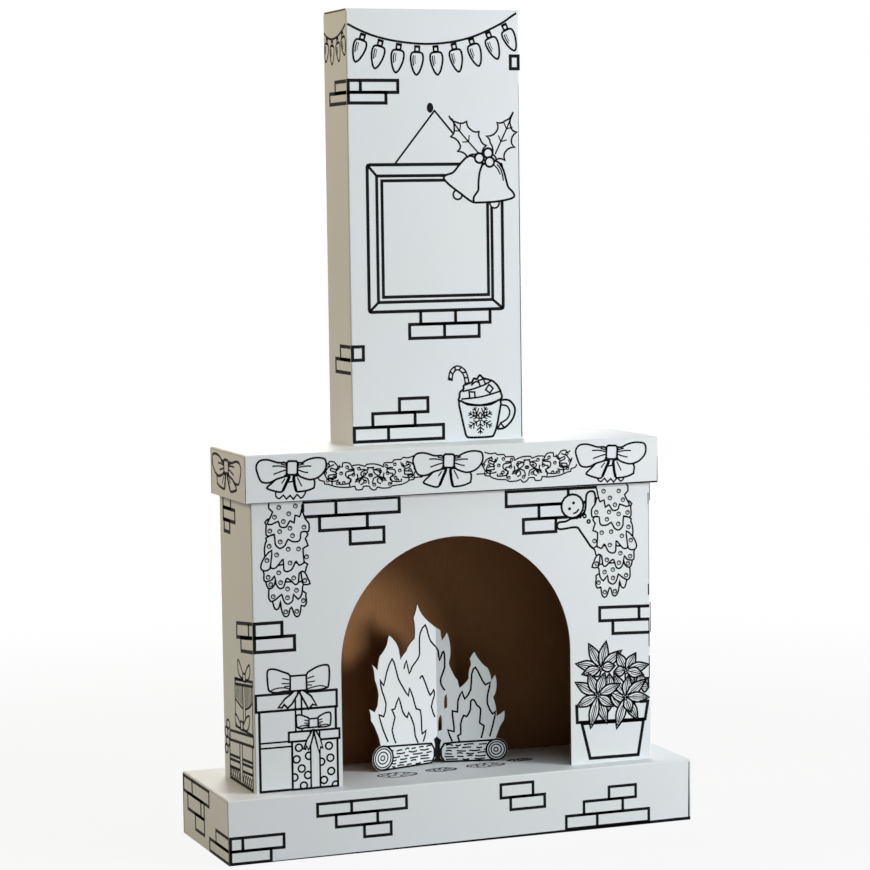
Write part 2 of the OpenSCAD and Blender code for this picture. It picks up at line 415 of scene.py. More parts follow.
class Wire:
    """A socket of a node tree: arithmetic on wires adds Math nodes, add() makes any other node."""

    def __init__(self, tree, socket=None):
        self.tree, self.socket = tree, socket

    def add(self, kind, settings=None, values=None, out=0):
        node = self.tree.nodes.new(kind)
        for key, value in (settings or {}).items():
            setattr(node, key, value)
        for key, value in (values or {}).items():
            socket = node.inputs[key]
            if isinstance(value, Wire):
                self.tree.links.new(value.socket, socket)
            else:
                socket.default_value = value
        return Wire(self.tree, node.outputs[out]) if node.outputs else node

    def math(self, operation, *others):
        return self.add("ShaderNodeMath", {"operation": operation}, dict(enumerate((self, *others))))

    def __add__(self, other):
        return self.math("ADD", other)

    __radd__ = __add__

    def __sub__(self, other):
        return self.math("SUBTRACT", other)

    def __rsub__(self, other):
        return self.math("MULTIPLY_ADD", -1, other)

    def __mul__(self, other):
        return self.math("MULTIPLY", other)

    __rmul__ = __mul__

    def __truediv__(self, other):
        return self.math("DIVIDE", other)

    def __gt__(self, other):
        return self.math("GREATER_THAN", other)

    def __lt__(self, other):
        return self.math("LESS_THAN", other)

    def __abs__(self):
        return self.math("ABSOLUTE")

    def most(self, other):
        return self.math("MAXIMUM", other)

    def least(self, other):
        return self.math("MINIMUM", other)

    def sine(self):
        return self.math("SINE")

    def root(self):
        return self.math("SQRT")

    def rise(self, low, high):
        """A soft step from 0 at low to 1 at high."""
        return self.add("ShaderNodeMapRange", {"interpolation_type": "SMOOTHSTEP"},
                        {"Value": self, "From Min": low, "From Max": high})

    def mix(self, one, other):
        """The colour one where this wire is 0, and the other where it is 1."""
        values = {0: self, 6: one if isinstance(one, Wire) else (*one, 1),
                  7: other if isinstance(other, Wire) else (*other, 1)}
        return self.add("ShaderNodeMix", {"data_type": "RGBA"}, values, out=2)


def new_material(name):
    material = bpy.data.materials.new(name)
    material.use_nodes = True
    material.node_tree.nodes.clear()
    return material, Wire(material.node_tree)


def finish_material(start, colour, roughness, normal, specular=0.4):
    shader = start.add("ShaderNodeBsdfPrincipled", None, {
        "Base Color": colour, "Roughness": roughness, "Normal": normal, "Specular IOR Level": specular})
    start.add("ShaderNodeOutputMaterial", None, {"Surface": shader})


def object_axes(start):
    """The object coordinates and their three axes in millimetres."""
    place = start.add("ShaderNodeTexCoord", out=3)
    split = start.add("ShaderNodeSeparateXYZ", None, {0: place})
    return place, [Wire(start.tree, split.socket.node.outputs[i]) / MM for i in range(3)]


def noise(place, scale, detail=2.0, stretch=(1, 1, 1)):
    """A noise value of about 0 to 1, with its scale per metre."""
    moved = place.add("ShaderNodeMapping", None, {"Vector": place, "Scale": stretch})
    return moved.add("ShaderNodeTexNoise", None, {"Vector": moved, "Scale": scale, "Detail": detail})


def rounded(one, other):
    """Distance outside a rounded edge, from the distances past the starts of its round in two axes."""
    clear_one, clear_other = one.most(0), other.most(0)
    return (clear_one * clear_one + clear_other * clear_other).root() + one.most(other).least(0) - FOLD_R


def board_finish(start, place, printed, depth, along, fold, pale_cut=False):
    """White liner where printed is 1, brown liner elsewhere, and flutes where a cut shows the inside.

    depth is the distance below the outer skin, along the distance across the flutes."""
    looks = bpy.context.scene.fireplace_board
    wave = (along * (math.tau / looks.flute_pitch)).sine()
    cut = (depth > LINER_T) * (depth < BOARD_T - LINER_T) * (1 - printed)
    solid = abs(depth - BOARD_T / 2 - wave * (BOARD_T / 2 - LINER_T)).rise(0.32, 0.18)
    patch = noise(place, 9, 2)
    grain = noise(place, 420, 3)
    fibre = noise(place, 60, 4, (8, 8, 1))
    fleck = noise(place, 900, 1, (1, 1, 0.35))
    white = patch.rise(0.35, 0.65).mix(looks.paper, looks.paper_cool)
    white = (grain.rise(0.3, 0.9) * 0.05).mix(white, (0.62, 0.63, 0.62))
    white = (fold * noise(place, 260, 3).rise(0.52, 0.7) * 0.35).mix(white, (0.72, 0.68, 0.62))
    brown = (fibre.rise(0.35, 0.7) * 0.28).mix(looks.kraft, looks.kraft_dark)
    brown = (fleck.rise(0.62, 0.74) * 0.5).mix(brown, looks.kraft_dark)
    brown = (wave.rise(0.2, 1.0) * 0.05).mix(brown, looks.kraft_dark)
    # Painted shade: the hollows between the flutes in a cut edge are coloured near black
    inner = (cut * (1 - solid)).mix(brown, (0.06, 0.035, 0.018))
    if pale_cut:
        inner = (cut * solid).mix(inner, (0.62, 0.50, 0.38))
    colour = printed.mix(inner, white)
    rough = 0.88 - printed * 0.34 + grain * 0.08
    show = printed * (0.5 * looks.telegraph) + (1 - printed) * looks.telegraph
    relief = wave * show + grain * 0.5 + (1 - printed) * fibre * 0.8
    normal = start.add("ShaderNodeBump", None, {"Height": relief, "Strength": 0.35, "Distance": 0.0003})
    finish_material(start, colour, rough, normal)


def tray_material(node):
    """Board of an upturned tray: folds along the top, open seams at the corners, foot down."""
    material, start = new_material(node + "_board")
    low, high = (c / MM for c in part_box(node))
    place, (x, y, z) = object_axes(start)
    past_x = abs(x - (low.x + high.x) / 2) - ((high.x - low.x) / 2 - FOLD_R)
    past_y = abs(y - (low.y + high.y) / 2) - ((high.y - low.y) / 2 - FOLD_R)
    past_z = z - (high.z - FOLD_R)
    end, wall = rounded(past_x, past_z), rounded(past_y, past_z)
    wall_skin = (wall > -LINER_T)
    cut_end = (wall > -BOARD_T) * (1 - wall_skin) * (past_z < 0)
    end_skin = (end > -LINER_T) * (1 - cut_end)
    printed = wall_skin.most(end_skin)
    in_end = (end > -BOARD_T) * (wall < -BOARD_T)
    in_wall = (wall > -BOARD_T)
    along = in_end * y + (1 - in_end) * x
    depth = -1 * (in_wall * wall + (1 - in_wall) * end)
    fold = past_z.rise(-2, 1) * past_x.most(past_y).rise(-2, 1)
    board_finish(start, place, printed, depth, along, fold)
    return material


def tube_material(node):
    """Board of an upright tube with round upright folds."""
    material, start = new_material(node + "_board")
    low, high = (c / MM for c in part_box(node))
    place, (x, y, z) = object_axes(start)
    past_x = abs(x - (low.x + high.x) / 2) - ((high.x - low.x) / 2 - FOLD_R)
    past_y = abs(y - (low.y + high.y) / 2) - ((high.y - low.y) / 2 - FOLD_R)
    skin = rounded(past_x, past_y)
    if node == "chimney":
        skin = skin.most(rounded(past_y, z - (high.z - FOLD_R)))
    printed = (skin > -LINER_T)
    in_side = (past_x > past_y)
    along = in_side * y + (1 - in_side) * x
    fold = past_x.rise(-2, 1) * past_y.rise(-2, 1)
    board_finish(start, place, printed, -1 * skin, along, fold)
    return material


def flame_material():
    """Board of the flame cut-out: white in front, brown behind, pale at its cut edge."""
    material, start = new_material("flame_board")
    place, (x, y, _) = object_axes(start)
    turn = math.radians(WING_TURN)
    across, back = abs(x - FLAME_FOLD[0]), y - FLAME_FOLD[1]
    depth = back * math.cos(turn) + across * math.sin(turn) + BOARD_T / 2
    along = across * math.cos(turn) - back * math.sin(turn)
    printed = (depth < LINER_T)
    fold = (1.5 - across).rise(0, 1.5)
    board_finish(start, place, printed, depth, along, fold, pale_cut=True)
    return material


def ink_material():
    """Black ink with a little breakup, shared by all the print and by the marks of painted shade."""
    found = bpy.data.materials.get("black_ink")
    if found:
        return found
    material, start = new_material("black_ink")
    place, _ = object_axes(start)
    worn = noise(place, 700, 3).rise(0.55, 0.85)
    colour = (worn * 0.25).mix(bpy.context.scene.fireplace_print.ink, (0.05, 0.05, 0.055))
    rough = 0.62 + worn * 0.2
    normal = start.add("ShaderNodeBump", None, {
        "Height": noise(place, 420, 2), "Strength": 0.2, "Distance": 0.0002})
    finish_material(start, colour, rough, normal, specular=0.08)
    return material


class FIREPLACE_OT_board(bpy.types.Operator):
    """Give the five sheets their corrugated board"""

    bl_idname = "fireplace.board"
    bl_label = "Board"

    def execute(self, context):
        made = {"hearth": tray_material("hearth"), "mantel": tray_material("mantel"),
                "surround": tube_material("surround"), "chimney": tube_material("chimney"),
                "flames": flame_material()}
        for node, material in made.items():
            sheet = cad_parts[node]
            if not sheet.material_slots:
                raise RuntimeError(node + " has no material slot")
            for slot in sheet.material_slots:
                slot.material = material
        return {"FINISHED"}


def bricks(page, boxes, width):
    """A few bricks, each given as left, bottom, right and top."""
    for low_a, low_b, high_a, high_b in boxes:
        page.box(low_a, low_b, high_a, high_b, width)


def bow(page, at, scale, tails, widths, turn=-3.0):
    """A ribbon bow with two loops, two tails of a given share of their length, and a square knot."""
    line, hair = widths

    def put(points):
        return placed(points, at, scale, turn)

    # The height at which the tails leave the knot, from which their length is scaled
    top = -13
    for tail in ([(-4, -13), (-10, -28), (-14, -38), (-19, -41), (-29, -39), (-38, -36), (-41, -33),
                  (-33, -25), (-23, -16)],
                 [(3, -13), (5, -28), (8, -39), (13, -40), (26, -38), (36, -34), (38, -31), (37, -18),
                  (20, -12)]):
        hung = [(a, top + (b - top) * tails) for a, b in tail]
        page.shape(put(smooth(hung, 3, closed=True)), line)
        page.line(put(hung[:3]), line * 1.5)
    for crease in ([(-11, -16), (-17, -24)], [(9, -14), (13, -21), (17, -28)]):
        page.line(put(crease), hair)
    for loop in ([(-10, 7), (-24, 8), (-40, 12), (-52, 11.5), (-58, 7), (-60, 0), (-57, -10), (-52, -20),
                  (-45, -23), (-35, -22), (-25, -17), (-10, -11)],
                 [(10, 7), (16, 8), (26, 13), (39, 16), (52, 15), (56, 11), (57, 3), (54, -5), (46, -13),
                  (36, -17), (26, -17), (10, -10)]):
        page.shape(put(smooth(loop, 3, closed=True)), line)
    for crease in ([(-10, 1), (-22, 3), (-33, 2.5)], [(-10, -3), (-20, -6), (-31, -10)],
                   [(-10, 4), (-19, 6)], [(10, 1), (22, 3), (32, 3)], [(10, -3), (20, -6), (27, -7)],
                   [(10, 4), (20, 6.5)]):
        page.line(put(smooth(crease, 3)), hair * 1.1)
    knot = [(-6.5, 10.5), (6.5, 10.5), (9, 8), (9, -8), (6.5, -10.5), (-6.5, -10.5), (-9, -8), (-9, 8)]
    page.shape(put(knot), line * 1.1)


# The hanging garland at the left of the arch: its layers of leaves from the lowest up, and its berries
DROP_LAYERS = [
    [(-300, 410), (-301.5, 390), (-297, 384), (-292.5, 388), (-290.5, 397), (-289.5, 386), (-286.5, 376),
     (-282, 372), (-277.5, 375), (-276, 382), (-273, 386), (-270.5, 381), (-268, 374), (-264, 371),
     (-260, 374), (-258, 382), (-257, 388), (-252, 386.5), (-248.5, 392), (-249.5, 402), (-254, 410)],
    [(-306, 425), (-308.5, 417), (-309, 402), (-304, 397), (-295, 402), (-288.5, 407), (-286.5, 401),
     (-283.5, 394.5), (-279, 391.5), (-274.5, 393), (-270.5, 397), (-269, 406), (-262, 398), (-256, 405),
     (-254.5, 417), (-255, 425)],
    [(-256, 444), (-249, 437), (-246, 430), (-242.3, 421), (-252.6, 420.4), (-255.4, 429)],
    [(-312, 434), (-312, 422), (-307, 417), (-300, 422), (-298, 436)],
    [(-312, 450), (-316, 441), (-316, 430), (-311, 428.5), (-303.5, 430.7), (-299.3, 436), (-297.3, 425),
     (-295, 420), (-291, 416.3), (-285, 418), (-281.5, 428), (-278.7, 431.4), (-272, 426.6), (-266.3, 421),
     (-261, 424), (-259.5, 437.5), (-254, 441), (-250.5, 439), (-248, 446), (-251, 455)],
    [(-306, 499), (-311, 491), (-313.7, 485), (-314.4, 468), (-306, 452), (-303, 448), (-296.6, 449),
     (-289.7, 456.6), (-285, 460.7), (-284.2, 446), (-281, 442), (-276, 442.3), (-270.5, 445.7),
     (-266.3, 454), (-263.6, 456.6), (-259.5, 450.5), (-254, 452.5), (-251.2, 456), (-252.6, 476),
     (-244.4, 480), (-248.5, 491), (-247, 502)],
    [(-303, 476), (-314, 467), (-320.5, 455), (-320, 447.5), (-313.7, 445), (-306.5, 448), (-304.5, 460)],
    [(-309, 524), (-311, 515), (-311.7, 501), (-307, 498), (-298.6, 500.3), (-297.3, 486), (-293, 480),
     (-288, 478.4), (-281.5, 482.5), (-276.6, 491.4), (-270.5, 488), (-260.5, 487.3), (-256.5, 492),
     (-255.4, 501), (-248.5, 502.3), (-243, 502), (-242.3, 514), (-248.5, 522), (-251.2, 530), (-258, 532)],
    [(-300, 556), (-306.5, 541), (-300.5, 535), (-306.5, 523.4), (-309, 517), (-302, 516), (-291.8, 520),
     (-289.5, 513), (-285, 510.3), (-279, 511), (-275, 517), (-272, 520), (-266.3, 516.6), (-264.3, 528),
     (-257.4, 525.5), (-254.7, 533), (-252.6, 542.5), (-254, 556)],
]
DROP_BERRIES = [
    (-290.4, 541.4), (-263.6, 542.3), (-274.6, 530.9), (-297.5, 526.9), (-283.5, 519.5), (-273, 508.5),
    (-305.5, 506), (-289.7, 504.3), (-250.5, 509), (-269.1, 496.8), (-289, 488.3), (-306.9, 482.5),
    (-276.4, 476.4), (-259.8, 475.7), (-295.2, 468.6), (-311, 461), (-273.9, 455), (-247, 463),
    (-292.4, 440.9), (-309.6, 435), (-268.4, 431.5), (-289.7, 425.5), (-305.5, 423.5), (-250.5, 426.5),
    (-278.7, 415), (-264.3, 412), (-302, 404.5), (-279, 401.5), (-253.5, 395.5), (-282.1, 379.8),
    (-264.3, 379.5),
]
# The garland between the left and the middle bow: its edges, its curls and its berries
SWAG_EDGES = [
    [(-219, 608), (-213, 605), (-211, 609), (-203, 608), (-197, 601), (-190, 600), (-189, 606), (-178, 605),
     (-174, 598), (-170, 595)],
    [(-174, 601), (-163, 602), (-153, 599), (-150, 602), (-137, 602), (-127, 599), (-123, 597), (-121, 603),
     (-108, 603), (-105, 607), (-94, 607), (-90, 610), (-82, 609), (-72, 612)],
    [(-230, 586), (-227, 581), (-220, 579), (-219, 575), (-213, 574), (-202, 570), (-188, 568), (-177, 568),
     (-170, 569), (-168, 563.5), (-158, 563.5), (-156, 568), (-147, 568), (-145, 565), (-141, 562),
     (-136, 562), (-133, 566), (-126, 564), (-113, 564), (-108, 567), (-94, 568), (-83, 572), (-81, 574),
     (-73, 575), (-71, 578), (-58, 578)],
]
SWAG_CURLS = [
    [(-197, 601), (-200, 596), (-208, 599), (-209, 595), (-201, 592), (-200, 589), (-212, 588), (-212, 583),
     (-204, 581)],
    [(-170, 595), (-175, 593), (-183, 592), (-185, 587), (-181, 582), (-176, 580), (-179, 575), (-178, 569)],
    [(-147, 594), (-158, 591), (-160, 587), (-157, 583)],
    [(-127, 594), (-135, 594), (-139, 590), (-134, 585), (-129, 581), (-133, 578), (-132, 573), (-127, 571)],
    [(-107, 595), (-115, 595), (-117, 588), (-108, 586), (-109, 582), (-112, 579), (-109, 574), (-94, 573),
     (-94, 577)],
    [(-94, 603), (-92, 597), (-87, 593), (-88, 584), (-74, 584)],
    [(-81, 583), (-81, 573)],
    [(-222, 597), (-216, 584), (-208, 578), (-196, 580)],
    [(-163, 573), (-160, 582), (-149, 580), (-147, 571)],
    [(-203, 604), (-213, 600), (-220, 590)],
    [(-150, 596), (-138, 597)],
    [(-122, 588), (-123, 580), (-118, 575)],
]
SWAG_BERRIES = [
    (-218, 592), (-192, 590), (-182, 599), (-172, 587), (-163, 596), (-154, 587), (-166, 578), (-153, 575.5),
    (-128, 590), (-126, 579), (-113, 570), (-103, 579), (-96, 590), (-79, 590), (-83, 601), (-188, 575),
    (-198, 575), (-203, 584.5), (-74, 580), (-138, 570), (-213, 604), (-143, 585), (-104, 600), (-118, 598),
]
# The leaves below a bow at either end of the mantel, round the bow's place
BOW_LEAVES = [(-24, 570), (-26, 560), (-20, 556), (-14, 561), (-9, 555), (-3, 560), (2, 554), (8, 561),
              (14, 555), (20, 560), (22, 570), (10, 580), (-10, 580)]
# The print's mirrors: within the mantel's garland, at the middle bow, and between the arch's garlands
SWAG_MIDDLE, BOW_MIDDLE, DROP_MIDDLE = -144, -13, -4.5
# Added to the heights of the arch's right garland, which hangs lower than the left one
DROP_RISE = -3


def mirrored(points, middle, rise=0.0):
    """Points seen in a mirror that stands upright at middle."""
    return [(2 * middle - a, b + rise) for a, b in points]


def berries(page, spots, radius, width):
    """Small rings with a bent stroke in each."""
    for spot in spots:
        page.ring(oval(spot, radius, steps=12), width)
        page.line(oval(spot, radius * 0.36, steps=8)[:4], width * 0.8)


def picture_frame(page, bold):
    """An empty picture frame with mitred corners, and the string and nail that it hangs from."""
    string_width = 3.0
    for string in ([(0, 1147), (-67, 1065)], [(-1, 1148), (33, 1109), (47, 1086)]):
        page.line(string, string_width)
    page.spot(oval((-7.5, 1151.5), 5.6, 8, 12))
    outer, second, third = (-114, 833, 113, 1063), (-98.5, 848, 95, 1045.5), (-90, 856, 88, 1038)
    # The outer edge has slightly rounded corners
    page.shape([(-113, 834), (-110, 833), (109, 833), (112, 834), (113, 837), (113, 1059), (112, 1062),
                (109, 1063), (-110, 1063), (-113, 1062), (-114, 1059), (-114, 837)], bold)
    for ring in (second, third):
        page.box(*ring, bold * 0.95)
    for a, b in ((0, 1), (2, 1), (0, 3), (2, 3)):
        page.line([(outer[a], outer[b]), (second[a], second[b])], bold * 0.8)


def holly_leaf(page, outline, spine, width, hair):
    """A spiked leaf with its rib and veins."""
    page.shape(outline, width)
    page.line(smooth(spine, 3), hair * 1.2)
    for i in range(1, len(spine) - 1):
        way = Vector(spine[i + 1]) - Vector(spine[i - 1])
        side = Vector((-way.y, way.x)).normalized() * 8
        back = way.normalized() * -7
        for flank in (side, -side):
            page.line([spine[i], tuple(Vector(spine[i]) + flank + back)], hair)


def bent_edges(points, sag):
    """Straight edges bent inwards or outwards between the points of a closed outline."""
    out = []
    count = len(points)
    for i in range(count):
        p, q = Vector(points[i]), Vector(points[(i + 1) % count])
        side = Vector((-(q - p).y, (q - p).x)) * sag
        out += [tuple(p), tuple(p.lerp(q, 0.33) + side), tuple(p.lerp(q, 0.67) + side)]
    return out


def bells(page, widths):
    """Two bells under two holly leaves and three berries."""
    line, fine, hair = widths
    page.shape(oval((37.3, 1015), 7.6, 7.6), fine * 1.1)
    page.shape(smooth([(80, 1063), (66, 1074), (55, 1075), (40, 1061), (30, 1050), (18, 1046), (14, 1041),
                       (23, 1031), (42, 1017), (63, 1003), (70, 1012), (74, 1030)], 3, closed=True), line)
    page.shape(oval((100, 1001), 8, 8), fine)
    page.shape([*smooth([(80, 1062), (75, 1049), (73, 1033), (72.5, 1022), (68, 1015.5), (64.5, 1010),
                         (64.5, 1002.5)], 3),
                *smooth([(68, 1002), (100, 1003), (124, 1006.5), (133, 1010), (134, 1014), (130, 1020),
                         (124, 1026), (120, 1039), (116, 1053), (109, 1064), (100, 1069)], 3)], line)
    page.line(smooth([(105, 1062), (111, 1055), (114.5, 1044), (115.5, 1036)], 3), fine * 0.8)
    page.line(smooth([(100, 1061), (106, 1055), (110.5, 1046)], 3), fine * 0.8)
    left = [(24, 1139), (36, 1129), (54, 1130), (61, 1117), (75, 1114), (77, 1102), (87, 1092), (80, 1079),
            (68, 1078), (55, 1074), (38, 1083), (43, 1092), (27, 1106), (33, 1119)]
    holly_leaf(page, bent_edges(left, -0.13), [(28, 1134), (42, 1115), (57, 1098), (74, 1080)], fine, hair)
    right = [(134, 1145), (120, 1131), (106, 1128), (105, 1114), (87, 1107), (94, 1096), (97, 1078),
             (104, 1070), (119, 1068), (119, 1081), (136, 1089), (130, 1099), (140, 1113), (130, 1119)]
    holly_leaf(page, bent_edges(right, 0.13), [(131, 1138), (122, 1118), (112, 1098), (102, 1078)],
               fine, hair)
    for at in ((75, 1072.3), (90, 1080), (92.5, 1066)):
        page.shape(oval(at, 7.7), line)


def mug(page, widths):
    """A mug of cocoa with cream, a cane and three sugar cubes."""
    line, fine = widths
    outer = smooth([(53, 712), (50, 728), (44, 739), (32, 744), (21, 737), (17.5, 723)], 3)
    inner = smooth([(23.5, 721.5), (25.5, 732), (32, 738), (39, 735), (44, 727), (46.5, 711)], 3)
    page.shape(outer + inner, fine * 0.9)
    page.line(smooth([(107, 687), (121, 686), (131, 673), (127, 656), (113, 642.5), (100, 641)], 4), line)
    page.line(smooth([(108, 679), (117, 677), (122, 668), (118, 657), (106, 650)], 4), fine)
    page.line([(100, 641), (106, 650), (112, 643)], fine)
    cream = [(37, 687), (36, 695), (37, 702), (43, 707), (43, 712), (50, 715), (57, 717), (61, 723),
             (66, 722), (71, 728), (77, 723), (84, 721), (93, 718), (100, 712), (104, 706), (107, 699),
             (106, 688), (72, 680)]
    page.shape(smooth(cream, 4, closed=True), line)
    page.line(smooth([(41, 703), (62, 707), (82, 714), (90, 718)], 3), fine)
    page.line(smooth([(56, 712), (64, 718), (72, 716), (76, 723)], 3), fine)
    page.line(smooth([(39, 691), (70, 693), (94, 698), (108, 702)], 3), fine)
    page.shape(smooth([(35, 688), (39, 664), (44, 642), (47, 632), (54, 629), (88, 629), (94, 632),
                       (99, 644), (103, 662), (106.5, 687), (90, 681), (70, 680), (50, 682)],
                      3, closed=True), line)
    for at, turn in (((57, 697), 15), ((87, 706), -25), ((74, 716), 30)):
        page.shape(placed([(-5, -4), (4, -6), (6, 3), (-3, 6)], at, turn=turn), fine)


def present(page, box, lid, width):
    """A box and its lid, each given as left, bottom, right and top."""
    page.box(*box, width)
    page.box(*lid, width)


def within(page, region, holes, draw):
    """Draws on a page of its own, and adds what lies in a region and outside the holes."""
    part = Page(page.face)
    draw(part)
    part.clear(region, keep=True)
    for hole in holes:
        part.clear(hole)
    page.lines += part.lines
    page.spots += part.spots


def big_bow(page, at, scale, tails, widths):
    """The wide bow on a present, with folded loops, a square knot and notched tails of their own scale."""
    fine, hair = widths
    for tail in ([(-4.5, -10), (-13.6, -17.4), (-22, -23), (-33, -36), (-27, -36.7), (-23.5, -32),
                  (-18, -38), (-11, -32), (-1.7, -18), (0, -10)],
                 [(3, -10), (10.5, -14), (20.4, -22), (29, -37), (22.7, -35), (16, -42), (9, -29),
                  (2, -16)]):
        page.shape(placed(tail, at, tails), fine)
    for loop in ([(-13, 12), (-25, 19), (-36, 23.5), (-45, 24.5), (-49.5, 21.5), (-50, 11), (-49, -2),
                  (-46.5, -9.7), (-36, -12.7), (-25, -11.5), (-13, -9.5)],
                 [(13, 11.5), (23, 19.4), (34.6, 24), (46, 25), (50, 21.6), (50.7, 9), (48.7, -8), (45, -11),
                  (34.6, -13), (20, -13), (13, -11)]):
        page.shape(placed(smooth(loop, 3, closed=True), at, scale), fine)
    for fold in ([(-46.5, -10), (-36, -6), (-22, -6), (-13, -9)], [(48, -11), (38, -7), (24, -8), (13, -11)],
                 [(-15, 6), (-26, 9)], [(-15, 0), (-27, 1)], [(-15, -4), (-23, -4)], [(15, 6), (26, 9)],
                 [(15, 0), (27, 1)], [(15, -4), (22, -5)]):
        page.line(placed(smooth(fold, 3), at, scale), hair)
    page.shape(placed([(-13, 11.5), (13, 11.5), (13.5, -12), (-13.5, -12)], at, scale), fine)


def gift_stack(page, widths):
    """The two presents at the left of the arch."""
    bold, line, fine, hair = widths
    present(page, (-328, 102.5, -204, 227), (-333, 227, -202, 253), bold * 0.76)
    page.line([(-327, 178), (-204, 178)], fine)
    page.line([(-327, 170), (-204, 170)], fine)
    for a in (-269.5, -259.5):
        page.line([(a, 103), (a, 170)], fine)
        page.line([(a, 178), (a, 253)], fine)
    big_bow(page, (-264, 268), (1.0, 1.0), (1.0, 1.0), (fine * 1.1, hair))
    present(page, (-276, 102, -202, 177), (-281, 177, -198.5, 192), line)
    ribbon = panel(-246, 90, -231, 190)
    page.clear(ribbon)
    for a in (-246, -231):
        page.line([(a, 102), (a, 192)], fine)
    page.line([(-246, 102), (-231, 102)], line)

    def dots(part):
        for at in ((-265, 167), (-269, 149), (-261, 134), (-251, 123), (-258, 107), (-249, 153), (-273, 121),
                   (-216, 166), (-214, 147), (-213, 126), (-225, 113), (-206, 104), (-229, 142)):
            part.ring(oval(at, 5.6, steps=14), fine)

    within(page, panel(-276, 102, -202, 177), [ribbon], dots)
    big_bow(page, (-240.5, 204), (0.56, 0.58), (0.5, 1.1), (fine, hair))


def blade(page, base, tip, half, widths):
    """A pointed leaf of a flower with its rib."""
    start, end = Vector(base), Vector(tip)
    side = Vector((-(end - start).y, (end - start).x)).normalized() * half

    def at(share, out=0.0):
        return tuple(start.lerp(end, share) + side * out)

    outline = smooth([at(0), at(0.3, 0.85), at(0.6, 1), at(1)], 3)
    outline += smooth([at(1), at(0.6, -1), at(0.3, -0.85), at(0)], 3)[1:-1]
    page.shape(outline, widths[0])
    page.line([at(0.12), at(0.9)], widths[1])
    for flank in (1, -1):
        page.line(smooth([at(0.3, 0.3 * flank), at(0.55, 0.45 * flank), at(0.8, 0.25 * flank)], 2),
                  widths[1] * 0.6)


def potted_plant(page, widths):
    """Star flowers in a flower pot; each is given as its middle and the tips of its leaves."""
    bold, fine, hair = widths
    page.shape([(213, 166), (227, 108.5), (312, 107.5), (322, 164)], bold)
    page.shape([(205, 168.5), (325, 165), (330, 194), (204, 195)], bold)
    page.line([(228, 193), (228, 168)], hair)
    flowers = (
        ((262, 214), ((256, 178), (289, 182), (272, 238), (286, 222), (243, 186), (300, 196), (262, 244))),
        ((318, 218), ((331, 232), (332, 217), (318, 240))),
        ((247, 254), ((203, 264), (226, 295), (257, 297), (284, 280), (231, 242), (272, 256), (214, 246))),
        ((291, 247), ((276, 277), (309, 274), (332, 254), (306, 224), (270, 246), (322, 238))),
        ((290, 204), ((270, 243), (296, 238), (326, 230), (332, 200), (312, 164), (274, 153), (300, 178))),
        ((241, 210), ((202, 234), (225, 247), (254, 246), (281, 226), (204, 194), (257, 163), (228, 157),
                      (268, 190))),
    )
    for middle, tips in flowers:
        for tip in tips:
            blade(page, middle, tip, 7.8, (fine * 1.1, hair * 0.95))
    for middle in ((247, 254), (291, 247), (290, 204), (241, 210)):
        for at in placed([(0, 0), (3.2, 2), (-3, 2.4), (0.5, -3.4)], middle):
            page.shape(oval(at, 2.0, steps=8), hair)


def ginger_figure(page, widths):
    """A gingerbread figure that leans out from behind the garland."""
    line, fine = widths
    body = [(212, 500), (222, 510), (224, 532), (228, 539), (236, 540), (240, 532), (240, 505), (250, 470),
            (244, 448), (233, 450), (224, 462), (214, 476), (206, 484), (180, 482), (173, 486), (176, 493),
            (188, 494), (198, 498)]
    page.shape(smooth(body, 3, closed=True), line)
    for at in ((221, 501), (228, 492)):
        page.ring(oval(at, 2.6, steps=10), fine)
    page.line([(207, 497), (211, 502), (214, 499), (217, 505), (221, 504), (221, 511)], fine)
    page.shape(oval((200, 518), 19.2, 19), line)
    for at in ((195, 514), (202, 523)):
        page.spot(oval(at, 2.6, steps=10))
    page.line(smooth([(201, 506), (207, 508), (211, 513)], 4), fine)


def panel(low_a, low_b, high_a, high_b):
    """The outline of a rectangle."""
    return [(low_a, low_b), (high_a, low_b), (high_a, high_b), (low_a, high_b)]


class FIREPLACE_OT_chimney_print(bpy.types.Operator):
    """Print bricks, a picture frame, bells and a mug on the chimney, and paint shade along its right fold"""

    bl_idname = "fireplace.chimney_print"
    bl_label = "Chimney Print"

    def execute(self, context):
        look = context.scene.fireplace_print
        front = Page(box_face("chimney", "front"))
        front.line(smooth(LIGHT_WIRE, 4), look.line)
        bricks(front, [(-143, 1175.5, -123, 1194), (-123, 1175.5, -61, 1194), (-143, 1159, -81, 1175.5),
                       (130, 1213, 143.5, 1233), (-28, 812, 31, 833), (31, 812, 90, 833),
                       (-47, 790, 12, 812), (12, 790, 71, 812), (-143, 758.5, -125, 779.5),
                       (-66, 673.5, -18, 695.5), (-111, 652, -40, 673.5), (-142, 630, -85, 652),
                       (-85, 630, 8, 652)], look.bold)
        picture_frame(front, look.bold)
        bells(front, (look.line, look.fine, look.hair))
        mug(front, (look.line, look.fine))
        # Painted shade: thin dark marks of ink along the right fold, standing in for the shade at that edge
        front.spot([(141.9, 627), (143.3, 627), (143.3, 1110), (142.3, 1110)])
        front.spot([(142.7, 1110), (143.3, 1110), (143.3, 1190), (142.9, 1190)])
        left = Page(box_face("chimney", "left"))
        left.line(smooth(SIDE_WIRE, 4), look.line)
        bricks(left, [(-8, 1175.5, 55, 1193), (-8, 1159, 81, 1175.5), (-8, 758.5, 50, 779),
                      (-8, 738, 73, 758.5)], look.bold * 1.1)
        left.clear(panel(2.3, 600, 170, 1304), keep=True)
        right = Page(box_face("chimney", "right"))
        bricks(right, [(2, 1213, 32, 1233)], look.bold)
        add_print("chimney_print", [front, left, right])
        return {"FINISHED"}


